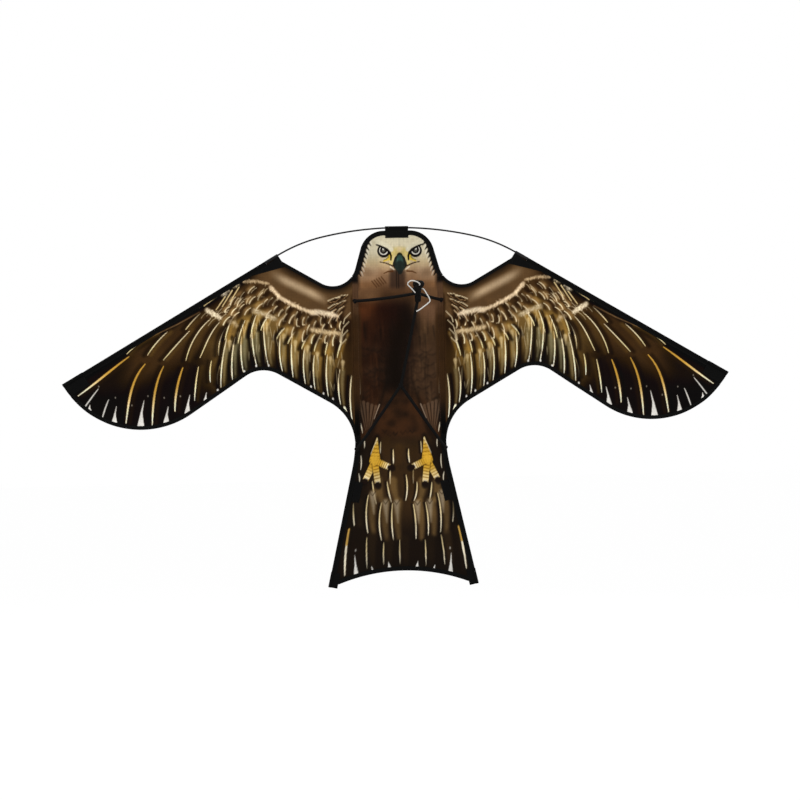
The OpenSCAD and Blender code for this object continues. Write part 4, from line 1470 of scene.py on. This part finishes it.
def tape_material(name, dark, light):
    """Woven tape with ribs across its length."""
    material, tree, shader = new_material(name)
    ribs = threads(tree, attribute(tree, "measure", "Fac"), 1.3)
    worn = noise_node(tree, 90, 4.0)
    colour = mixed(tree, ramp(tree, worn, 0.35, 0.75, 0.0, 1.0), dark, light)
    colour = mixed(tree, ramp(tree, ribs, -1, 1, 0.0, 0.25), colour, (0.001, 0.001, 0.001, 1))
    dress(tree, shader, colour, ramp(tree, worn, 0.3, 0.7, 0.62, 0.85), 0.06, ribs, 0.00015)
    return material


def thread_material(name, colour):
    material, tree, shader = new_material(name)
    twist = noise_node(tree, 900, 2.0)
    shade = tuple(0.6 * c for c in colour[:3]) + (1,)
    toned = mixed(tree, ramp(tree, twist, 0.35, 0.65, 0, 1), colour, shade)
    dress(tree, shader, toned, 0.6, 0.1, twist, 0.0001)
    return material


def cord_material(name, colour, gap_shade):
    """Braided cord: strands lighter than the gaps between them, where shade is painted into the colour."""
    material, tree, shader = new_material(name)
    fibre = noise_node(tree, 1400, 3.0)
    # Painted shade: where the braid is low, in the gaps between strands, the colour goes towards the darker
    # second colour.
    depth = ramp(tree, attribute(tree, "measure", "Fac"), 0.0, 1.0, 0.75, 0.0)
    strands = mixed(tree, depth, colour, gap_shade)
    strands = mixed(tree, ramp(tree, fibre, 0.4, 0.7, 0.0, 0.3), strands, gap_shade)
    dress(tree, shader, strands, ramp(tree, fibre, 0.3, 0.7, 0.6, 0.85), 0.08, fibre, 0.0001)
    return material


def rod_material(name):
    """Black rod with a fine mottle under a dull gloss."""
    material, tree, shader = new_material(name)
    mottle = noise_node(tree, 260, 5.0)
    tone = ramp(tree, mottle, 0.35, 0.7, 0, 1)
    colour = mixed(tree, tone, (0.0015, 0.0015, 0.0016, 1), (0.006, 0.006, 0.006, 1))
    dress(tree, shader, colour, ramp(tree, mottle, 0.3, 0.7, 0.28, 0.45), 0.1, mottle, 0.00006, 0.4)
    return material


def rubber_material(name):
    """Soft black vinyl, grained and a little scuffed."""
    material, tree, shader = new_material(name)
    grain = noise_node(tree, 700, 4.0)
    scuff = noise_node(tree, 70, 3.0)
    tone = ramp(tree, scuff, 0.45, 0.75, 0, 1)
    colour = mixed(tree, tone, (0.006, 0.006, 0.0065, 1), (0.022, 0.021, 0.020, 1))
    dress(tree, shader, colour, ramp(tree, scuff, 0.3, 0.7, 0.5, 0.75), 0.15, grain, 0.00012)
    return material


SAIL = sail_material("printed_ripstop")
BLACK_TAPE = tape_material("black_woven_tape", (0.0014, 0.0014, 0.0014, 1), (0.0042, 0.0040, 0.0038, 1))
THREAD = thread_material("black_thread", (0.006, 0.006, 0.006, 1))
BROWN_THREAD = thread_material("brown_thread", (0.075, 0.038, 0.022, 1))
# Each cord's second colour is the painted shade in the gaps of its braid.
BLACK_CORD = cord_material("black_braid", (0.0045, 0.004, 0.0038, 1), (0.001, 0.001, 0.001, 1))
WHITE_CORD = cord_material("white_braid", (0.82, 0.81, 0.77, 1), (0.35, 0.33, 0.29, 1))
ROD = rod_material("black_rod")
RUBBER = rubber_material("black_vinyl")


def place(piece, body, slot, *nodes):
    """Sets what a piece rides on and the solids that it stands for; slot, meant for its finish, is not used.
    """
    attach(piece, body)
    if nodes:
        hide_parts(*nodes)
    return piece


# Camera: the photograph's view, slightly from the kite's left and a little rolled
VIEW_CENTRE = np.array([0.0, 0.0, 360.0])
VIEW_DISTANCE = 2500.0
VIEW_AZIMUTH = -2.9
VIEW_ROLL = 1.16
VIEW_LENS = 57.9


def make_camera():
    camera = new_object("camera", bpy.data.cameras.new("camera"))
    camera.data.lens = VIEW_LENS
    camera.data.clip_end = 100
    a = math.radians(VIEW_AZIMUTH)
    r = math.radians(VIEW_ROLL)
    back = Vector((math.sin(a), -math.cos(a), 0))
    across = Vector((math.cos(a), math.sin(a), 0))
    up = Vector((0, 0, 1))
    right = math.cos(r) * across - math.sin(r) * up
    top = math.sin(r) * across + math.cos(r) * up
    turn = Matrix((right, top, back)).transposed()
    eye = Vector(world(VIEW_CENTRE)) + back * VIEW_DISTANCE * MM
    camera.matrix_world = Matrix.Translation(eye) @ turn.to_4x4()
    bpy.context.scene.camera = camera


make_camera()


# Cords: braided tubes on their routes
BRAID_STRANDS = 4
BRAID_PITCH = 5.0
BRAID_LOW = 0.86
BRAID_RISE = 0.16
CORD_SIDES = 12
CORD_STEP = 0.5
ANY_SIDE = (0.31, 0.87, 0.38)


def carried_frames(route):
    """Two directions square to a route that turn with it without twisting."""
    run = tangents(route)
    side = np.zeros_like(route)
    side[0] = unit(np.cross(run[0], ANY_SIDE))
    for i in range(1, len(route)):
        side[i] = unit(side[i - 1] - (side[i - 1] @ run[i]) * run[i])
    return side, np.cross(run, side)


def tube_rings(route, radius, sides):
    side, rise = carried_frames(route)
    angles = round_angles(sides)[None, :, None]
    radius = np.broadcast_to(radius, (len(route), sides))[..., None]
    ring = np.cos(angles) * side[:, None] + np.sin(angles) * rise[:, None]
    return route[:, None] + radius * ring


def braid(route, sides):
    """Height of a braid's strands round a cord, from 0 in the gaps to 1."""
    angles = BRAID_STRANDS / 2 * round_angles(sides)[None]
    turn = 2 * math.pi * lengths(route)[:, None] / BRAID_PITCH
    return np.maximum(np.abs(np.sin(angles + turn)), np.abs(np.sin(angles - turn)))


def add_cord(shape, route, diameter):
    height = braid(route, CORD_SIDES)
    rings = tube_rings(route, diameter / 2 * (BRAID_LOW + BRAID_RISE * height), CORD_SIDES)
    # The braid's height goes with the points, so that the cord's material paints shade into the gaps.
    shape.add_rings(rings, measure=height)


def make_cord(name, points, diameter, material, slot):
    route = rounded_line(points, CORD_STEP)
    shape = Shape()
    add_cord(shape, route, diameter)
    piece = place(shape.piece(name, [material], crease=80), "body", slot, name)


def hung(a, b, sag, steps):
    """Points of a cord between two ends, with a small sag."""
    t = np.linspace(0, 1, steps + 1)[:, None]
    return a + (b - a) * t - np.array([0, 0, 4 * sag]) * t * (1 - t)


MIRROR = np.array([-1, 1, 1])
KNOT_MIDDLE = (TOW_KNOT_FOOT + TOW_KNOT_HEAD) / 2
make_cord("tow_loop", TOW_LOOP_ROUTE, TOW_D, WHITE_CORD, "tow_cord")
make_cord("tow_tail", TOW_TAIL_ROUTE, TOW_D, WHITE_CORD, "tow_cord")
for cord_name, cord_start, cord_end, cord_sag, cord_steps in (
    ("upper_bridle_left", UPPER_TIE * MIRROR, KNOT_MIDDLE, 2, 8),
    ("upper_bridle_right", UPPER_TIE, KNOT_MIDDLE, 1, 6),
    ("bridle_stem", TOW_KNOT_FOOT + (0, 0, BRIDLE_D), BRIDLE_FORK, 1, 8),
    ("lower_bridle_left", BRIDLE_FORK, LOWER_TIE * MIRROR, 1, 8),
    ("lower_bridle_right", BRIDLE_FORK, LOWER_TIE, 1, 8),
):
    cord_points = hung(cord_start, cord_end, cord_sag, cord_steps)
    make_cord(cord_name, cord_points, BRIDLE_D, BLACK_CORD, "bridle_cord")


# Knots
KNOT_THICKNESS = 0.19
KNOT_STEPS = 60
KNOT_SIDES = 10
TURN_D = 2.6
TURN_SPACING = 0.94
TURN_STEPS = 24
BARREL_END = 0.80
CORE_SHARE = 0.92
TOW_BUNCHES = ((0.92, 23, 1.5), (0.62, 19, -2.0))


def add_trefoil(shape, centre, size):
    """Small overhand knot, drawn tight."""
    t = round_angles(KNOT_STEPS)
    across = np.sin(t) + 2 * np.sin(2 * t)
    back = -1.2 * np.sin(3 * t)
    up = np.cos(t) - 2 * np.cos(2 * t)
    thick = size * KNOT_THICKNESS
    loop = centre + np.stack([across, back, up], axis=1) / 3 * (size / 2 - thick)
    rings = tube_rings(np.vstack([loop, loop[:1]]), thick, KNOT_SIDES)[:-1]
    shape.add_rings(rings, measure=np.ones(len(rings)), loop=True)


def add_barrel(shape, foot, head, diameter, thick):
    """Barrel knot: close turns of cord round the standing parts."""
    axis = unit(head - foot)
    side = unit(np.cross(axis, (0, 1, 0)))
    rise = np.cross(axis, side)
    length = np.linalg.norm(head - foot) - thick
    turns = length / (thick * TURN_SPACING)
    t = np.linspace(0, 1, int(turns * TURN_STEPS))
    angle = 2 * math.pi * turns * t
    swell = BARREL_END + (1 - BARREL_END) * np.sin(math.pi * t) ** 0.5
    r = (diameter - thick) / 2 * swell
    coil = foot + axis * thick / 2 + np.outer(t * length, axis)
    coil = coil + np.outer(r * np.cos(angle), side) + np.outer(r * np.sin(angle), rise)
    add_cord(shape, resampled(coil, CORD_STEP), thick)
    core = foot + np.outer(np.linspace(0.02, 0.98, 12) * np.linalg.norm(head - foot), axis)
    add_cord(shape, core, (diameter - thick) * CORE_SHARE)


def tie(shape, name):
    place(shape.piece(name, [BLACK_CORD], crease=80), "body", "bridle_cord", name)


def make_knots():
    for name, centre in (("upper_ties", UPPER_TIE), ("lower_ties", LOWER_TIE)):
        pair = Shape()
        for mirror in (MIRROR, np.ones(3)):
            add_trefoil(pair, centre * mirror, TIE_D)
        tie(pair, name)
    fork = Shape()
    add_trefoil(fork, BRIDLE_FORK, TIE_D)
    tie(fork, "fork_knot")
    tow = Shape()
    add_barrel(tow, TOW_KNOT_FOOT, TOW_KNOT_HEAD, TOW_KNOT_D, TURN_D)
    for share, size, aside in TOW_BUNCHES:
        add_trefoil(tow, TOW_KNOT_FOOT + share * (TOW_KNOT_HEAD - TOW_KNOT_FOOT) + (aside, 0, 0), size)
    tie(tow, "tow_knot")


make_knots()


# Sail panels
WING_COLUMNS = 577
WING_ROWS = 148
BODY_COLUMNS = 226
BODY_ROWS = 370
ROW_SPREAD = 0.28
HEM_ROUNDS = 6
BACK_SHARE = 3
PANEL_ROOT_X = HINGE_X + LONGERON_BORE_R + 0.2
BACK_INK = 0.55
BARE_CLOTH = paint("#7d6a56")


def blurred(grid, reach):
    """Mean over each point's neighbours in a grid of colours."""
    for axis in (0, 1):
        margins = [(reach, reach) if k == axis else (0, 0) for k in range(3)]
        wide = np.pad(grid, margins, mode="edge")
        span = np.arange(grid.shape[axis])
        grid = np.mean([np.take(wide, span + k, axis=axis) for k in range(2 * reach + 1)], axis=0)
    return grid


def seen_through(rgb, shape):
    """Print as it shows on the back of the cloth: paler, softer and coarser."""
    grid = blurred(rgb.reshape(shape + (3,)), BACK_SHARE // 2)
    ink = grid[::BACK_SHARE, ::BACK_SHARE].reshape(-1, 3)
    return linear(ink * BACK_INK + BARE_CLOTH * (1 - BACK_INK))


def add_cloth(shape, grid):
    """Closed thin sheet with a fine front for the print and a coarser back."""
    back = grid[::BACK_SHARE, ::BACK_SHARE]
    near = np.arange(grid.shape[0] * grid.shape[1]).reshape(grid.shape[:2])
    far = near.size + np.arange(back.shape[0] * back.shape[1]).reshape(back.shape[:2])
    points = np.vstack([grid.reshape(-1, 3) - (0, SAIL_T / 2, 0), back.reshape(-1, 3) + (0, SAIL_T / 2, 0)])
    fine = rim_of(near)
    coarse = rim_of(far)
    steps = np.arange(len(coarse))[:, None] * BACK_SHARE + np.arange(BACK_SHARE + 1)
    rim = np.column_stack([fine[steps % len(fine)], np.roll(coarse, -1), coarse])
    shape.add(points, quads_of(near))
    shape.add([], quads_of(far)[:, ::-1])
    shape.add([], rim[:, ::-1])
    shape.close(points)


def make_panel(name, x, z, rgb, body, slot):
    shape = Shape()
    add_cloth(shape, on_cloth(x, z))
    colours = np.vstack([linear(rgb), seen_through(rgb, x.shape)])
    piece = place(shape.piece(name, [SAIL], crease=180, colours=colours), body, slot, name)


def make_wing_panels():
    columns = np.linspace(PANEL_ROOT_X, TIP[0] - 0.4, WING_COLUMNS)
    share = np.linspace(0, 1, WING_ROWS)[:, None]
    low = wing_bottom(columns)[None]
    high = wing_top(columns)[None]
    z = low + (high - low) * share
    x = np.broadcast_to(columns[None], z.shape)
    rgb = wing_print(x.ravel(), z.ravel())
    for side, sign in SIDES:
        make_panel(f"{side}_wing_panel", sign * x, z, rgb, f"{side}_wing", "wing_print")


def make_body_panel():
    columns = np.linspace(-1, 1, BODY_COLUMNS)[None]
    foot = np.zeros_like(columns)
    for _ in range(HEM_ROUNDS):
        foot = hem_z(columns * half_width(foot))
    rise = np.linspace(0, 1, BODY_ROWS)[:, None]
    rise = rise * (1 + ROW_SPREAD - ROW_SPREAD * rise)
    z = foot + (HEAD_TOP[1] - foot) * rise
    x = columns * half_width(z)
    rgb = body_print(x.ravel(), z.ravel())
    make_panel("body_panel", x, z, rgb, "body", "body_print")


make_wing_panels()
make_body_panel()


# Sewn edges
def sew(shape, name, body):
    """Finishes a piece of black tape with its thread."""
    place(shape.piece(name, [BLACK_TAPE, THREAD]), body, "black_tape", name)


def make_tape(name, body, edge, width, sign, root=None):
    """Folded tape along an edge; root is an x that it may not pass, where it narrows."""
    edge = resampled(edge, EDGE_STEP)
    inward = inwards(edge)
    room = np.full(len(edge), width)
    if root is not None:
        room = np.clip((edge[:, 0] - root) / np.maximum(-inward[:, 0], 0.01), 0.6, width)
    profiles = np.array([tape_profile(w) for w in room])
    shape = Shape()
    shape.add_rings(swept(edge, inward, profiles, sign), measure=lengths(edge))
    seam = edge + (room - SEAM_INSET)[:, None] * inward
    add_seam(shape, seam[room > LEAST_SEWN], TAPE_SEAM_HEIGHT, sign)
    sew(shape, name, body)


def make_tunnel(name, body, edge, bore_r, sign):
    shape = Shape()
    add_tunnel(shape, edge, tunnel_profile(bore_r, TUNNEL_LEG), TUNNEL_LEG, sign)
    sew(shape, name, body)


def rod_line(on_rod, start, end):
    """Points along a spar or the tail's side, between two distances from its start."""
    count = max(2, int((end - start) / EDGE_STEP))
    return np.array([on_rod(s, 0) for s in np.linspace(start, end, count)])


def add_pocket(shape, on_rod, s, inward, profile, sign):
    """Pocket round the end of a rod, at distances s from its start."""
    edge = np.array([on_rod(v, 0) for v in s])
    shape.add_rings(swept(edge, np.tile(inward, (len(s), 1)), profile, sign), measure=s)


PATCH_RISE = 0.25
PATCH_BASE = SAIL_T / 2 + 0.05
PATCH_SEAM = 0.82


def make_patch(name, corners, body, sign):
    """Patch sewn flat on the front of the sail, given by four corners."""
    a, b, c, d = (np.array(p, float) for p in corners)
    u = np.linspace(0, 1, 14)[None, :, None]
    v = np.linspace(0, 1, 10)[:, None, None]
    flat = (a * (1 - u) + b * u) * (1 - v) + (d * (1 - u) + c * u) * v
    grid = on_cloth(flat[..., 0], flat[..., 1]) * (sign, 1, 1)
    shape = Shape()
    height = FOLD_T / 2 + PATCH_RISE
    add_sheet(shape, grid, -height, -PATCH_BASE)
    middle = (a + b + c + d) / 4
    ring = middle + (np.array([a, b, c, d, a]) - middle) * PATCH_SEAM
    add_seam(shape, resampled(ring, OUTLINE_STEP), height, sign, FRONT)
    sew(shape, name, body)


def lobe_depth(s):
    """Depth of the wing below the spar, near the tip."""
    reach = LOBE_R ** 2 - np.square(s - (LEADING_LENGTH - LOBE_R))
    return SPAR_EDGE + np.sqrt(np.maximum(reach, 0))


def make_tip_pocket(side, sign, start):
    s = np.linspace(start, LEADING_LENGTH, 24)
    depth = np.minimum(TIP_POCKET_DEPTH, lobe_depth(s) + TAPE_T)
    shape = Shape()
    add_pocket(shape, on_spar, s, SPAR_IN, np.array([pocket_profile(TIP_R, leg) for leg in depth]), sign)
    inner = on_spar(start, 0) + SEAM_INSET * SPAR_DIR + np.outer(np.linspace(6, depth[0] - 2, 12), SPAR_IN)
    curve = np.array([on_spar(v, n - 2.2) for v, n in zip(s[1:-2], depth[1:-2])])
    for face in (FRONT, BACK):
        add_seam(shape, inner, FOLD_T / 2, sign, face)
        add_seam(shape, curve, FOLD_T / 2, sign, face)
    sew(shape, f"{side}_tip_pocket", f"{side}_wing")


def make_wing_edges(side, sign):
    wing = f"{side}_wing"
    pocket_start = LEADING_LENGTH - TIP_POCKET_LENGTH
    spar_line = rod_line(on_spar, TUBE_LENGTH + GAP, pocket_start - GAP)
    make_tunnel(f"{side}_spar_tunnel", wing, spar_line, SPAR_BORE_R, sign)
    make_tip_pocket(side, sign, pocket_start)
    pocket_reach = np.flatnonzero((TRAILING_EDGE - on_spar(0, 0)) @ SPAR_IN > TIP_POCKET_DEPTH)[0]
    trailing = TRAILING_EDGE[pocket_reach:]
    make_tape(f"{side}_trailing_binding", wing, trailing, TRAILING_TAPE_W, sign, root=PANEL_ROOT_X)
    neck = np.vstack([NECK_EDGE, [on_spar(0.3, 3)]])
    make_tape(f"{side}_neck_binding", wing, neck, NECK_TAPE_W, sign)
    tape_side = NECK + (NECK_TAPE_W + GAP) * right_of(NECK_DIR)
    start = meeting(tape_side, NECK_DIR, on_spar(0, TUNNEL_LEG + GAP), SPAR_DIR)
    far = start + SHOULDER_PATCH_LENGTH * SPAR_DIR
    low = start - 2 * SHOULDER_PATCH_DEPTH * NECK_DIR
    make_patch(f"{side}_shoulder_patch", (on_spar(0.5, 3), far, (far + low) / 2, low), wing, sign)


def make_head_loop():
    x = np.linspace(-HEAD_LOOP_W / 2, HEAD_LOOP_W / 2, 24)
    edge = np.stack([x, np.full_like(x, BOW_CROWN_Z)], axis=1)
    inward = np.tile((0.0, -1.0), (len(x), 1))
    slit = FOLD_T / 2 + 0.12
    shape = Shape()
    profile = tunnel_profile(HEAD_LOOP_R, HEAD_LOOP_REACH, slit)
    shape.add_rings(swept(edge, inward, profile, 1), measure=x + HEAD_LOOP_W)
    for face in (FRONT, BACK):
        for depth in (8.0, HEAD_LOOP_REACH - 2):
            add_seam(shape, (edge + depth * inward)[1:-1], slit + TAPE_T, 1, face)
    sew(shape, "head_loop", "body")


SEAM = 0.02


def make_root_tunnel(side, sign):
    shape = Shape()
    line = np.array([(HINGE_X, z) for z in np.linspace(ROOT_TOP_Z, TAIL_CENTRE[1] + SEAM, 110)])
    add_tunnel(shape, line, tunnel_profile(LONGERON_BORE_R, ROOT_LEG), ROOT_LEG, sign)
    colours = linear(root_print(np.vstack(shape.points)[:, 2]))
    name = f"{side}_root_tunnel"
    place(shape.piece(name, [SAIL, BROWN_THREAD], colours=colours), "body", "brown_tape", name)


def make_tail_pocket(side, sign, start):
    """Folded pocket at a tail tip, with a square end that hangs below the hem."""
    s = np.linspace(start, TAIL_LENGTH, 20)
    shape = Shape()
    add_pocket(shape, on_tail, s, TAIL_IN, pocket_profile(TAIL_TIP_R, TAIL_POCKET_DEPTH), sign)
    run = on_tail(start + 1.8, 0) + np.outer(np.linspace(5, TAIL_POCKET_DEPTH - 2, 10), TAIL_IN)
    add_seam(shape, run, FOLD_T / 2, sign)
    sew(shape, f"{side}_tail_pocket", "body")


def make_body_side(side, sign):
    make_root_tunnel(side, sign)
    waist_line = arc(TAIL_CENTRE, TAIL_BEND_R, 180, 180 + TAIL_ANGLE)
    make_tunnel(f"{side}_waist_tunnel", "body", waist_line, LONGERON_BORE_R, sign)
    pocket_start = TAIL_LENGTH - TAIL_POCKET_LENGTH
    tail_line = rod_line(on_tail, SEAM, pocket_start - SEAM)
    make_tunnel(f"{side}_tail_tunnel", "body", tail_line, LONGERON_BORE_R, sign)
    make_tail_pocket(side, sign, pocket_start)
    top = (TAIL_START[1] - TAIL_PATCH_Z) / math.cos(math.radians(TAIL_ANGLE))
    foot = top + TAIL_PATCH_LENGTH
    near = TUNNEL_LEG + GAP
    far = near + TAIL_PATCH_W
    corners = (on_tail(top, near), on_tail(top, far), on_tail(foot, far), on_tail(foot, near))
    make_patch(f"{side}_tail_patch", corners, "body", sign)


def make_sewn_edges():
    for side, sign in SIDES:
        make_wing_edges(side, sign)
    make_tape("head_binding", "body", HEAD_EDGE, HEAD_TAPE_W, 1)
    reach = math.degrees(math.asin((TAIL_CORNER[0] - TAIL_POCKET_DEPTH) / HEM_R))
    make_tape("tail_hem", "body", arc(HEM_CENTRE, HEM_R, 90 - reach, 90 + reach), HEM_TAPE_W, 1)
    make_head_loop()
    for side, sign in SIDES:
        make_body_side(side, sign)


make_sewn_edges()


# Rods: the bow is built in two halves, and the straight rods and their fittings keep their solids
BOW_SIDES = 20


def make_bow():
    line = resampled(BOW_LINE, EDGE_STEP)
    for side, sign in SIDES:
        route = np.stack([sign * line[:, 0], np.zeros(len(line)), line[:, 1]], axis=1)
        shape = Shape()
        shape.add_rings(tube_rings(route, BOW_R, BOW_SIDES), measure=lengths(route))
        piece = shape.piece(f"bow_rod_{side}", [ROD], crease=60)
        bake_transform(piece)
        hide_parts("bow_rod")


make_bow()


def finish_solid(name, material):
    solid = frame["nodes"][name]
    solid.data.materials.clear()
    solid.data.materials.append(material)


for side_name, _ in SIDES:
    for rod_name in ("spar", "longeron"):
        finish_solid(f"{side_name}_{rod_name}", ROD)
    for fitting_name in ("tip_cap", "shoulder_tube"):
        finish_solid(f"{side_name}_{fitting_name}", RUBBER)
finish_solid("longeron_caps", RUBBER)


# Floor, world and lights
FLOOR_DROP = 0.7
FLOOR_SIZE = 30.0
FLOOR_GLOW = 1.075
FLOOR_GLOW_SHARE = 0.85
WHITE = (1, 1, 1, 1)
WORLD_LIGHT = 0.55
LAMPS = (
    ("key", (-1.8, -2.6, 1.9), 52, 1.8),
    ("fill", (2.4, -2.2, 0.4), 18, 2.2),
    ("back", (0.8, 3.0, 1.6), 40, 2.2),
)


def seen_rays(tree):
    """1 for rays from the camera, in reflections and through glass."""
    path = node(tree, "ShaderNodeLightPath")
    seen = math_node(tree, "MAXIMUM", path.outputs["Is Camera Ray"], path.outputs["Is Glossy Ray"])
    return math_node(tree, "MAXIMUM", seen, path.outputs["Is Transmission Ray"])


def join_shaders(tree, share, first, second, target):
    """Sends two shaders to an output, with the second's share."""
    blend = node(tree, "ShaderNodeMixShader")
    for socket, value in zip(blend.inputs, (share, first.outputs[0], second.outputs[0])):
        feed(tree, socket, value)
    feed(tree, tree.nodes[target].inputs["Surface"], blend.outputs[0])


def make_floor():
    half = FLOOR_SIZE / 2
    z = CAD_BOX[0][2] - FLOOR_DROP
    corners = [(-half, -half, z), (half, -half, z), (half, half, z), (-half, half, z)]
    mesh = bpy.data.meshes.new("floor")
    mesh.from_pydata(corners, [], [(0, 1, 2, 3)])
    floor = new_object("floor", mesh)
    material, tree, shader = new_material("floor_white")
    shader.inputs["Base Color"].default_value = (0.9, 0.9, 0.9, 1)
    shader.inputs["Roughness"].default_value = 0.9
    glow = node(tree, "ShaderNodeEmission")
    glow.inputs["Color"].default_value = WHITE
    glow.inputs["Strength"].default_value = FLOOR_GLOW
    share = math_node(tree, "MULTIPLY", seen_rays(tree), FLOOR_GLOW_SHARE)
    join_shaders(tree, share, shader, glow, "Material Output")
    mesh.materials.append(material)


def make_world():
    scene_world = bpy.data.worlds.new("studio")
    bpy.context.scene.world = scene_world
    scene_world.use_nodes = True
    tree = scene_world.node_tree
    light = tree.nodes["Background"]
    light.inputs["Color"].default_value = WHITE
    light.inputs["Strength"].default_value = WORLD_LIGHT
    white = node(tree, "ShaderNodeBackground")
    white.inputs["Color"].default_value = WHITE
    join_shaders(tree, seen_rays(tree), light, white, "World Output")


def make_lamp(name, spot, power, size):
    lamp = bpy.data.lights.new(name, "AREA")
    lamp.energy = power
    lamp.size = size
    thing = new_object(name, lamp)
    thing.location = spot
    aim = Vector(world(VIEW_CENTRE)) - Vector(spot)
    thing.rotation_euler = aim.to_track_quat("-Z", "Y").to_euler()


make_floor()
make_world()
for lamp_row in LAMPS:
    make_lamp(*lamp_row)
bpy.context.scene.view_settings.view_transform = "Standard"
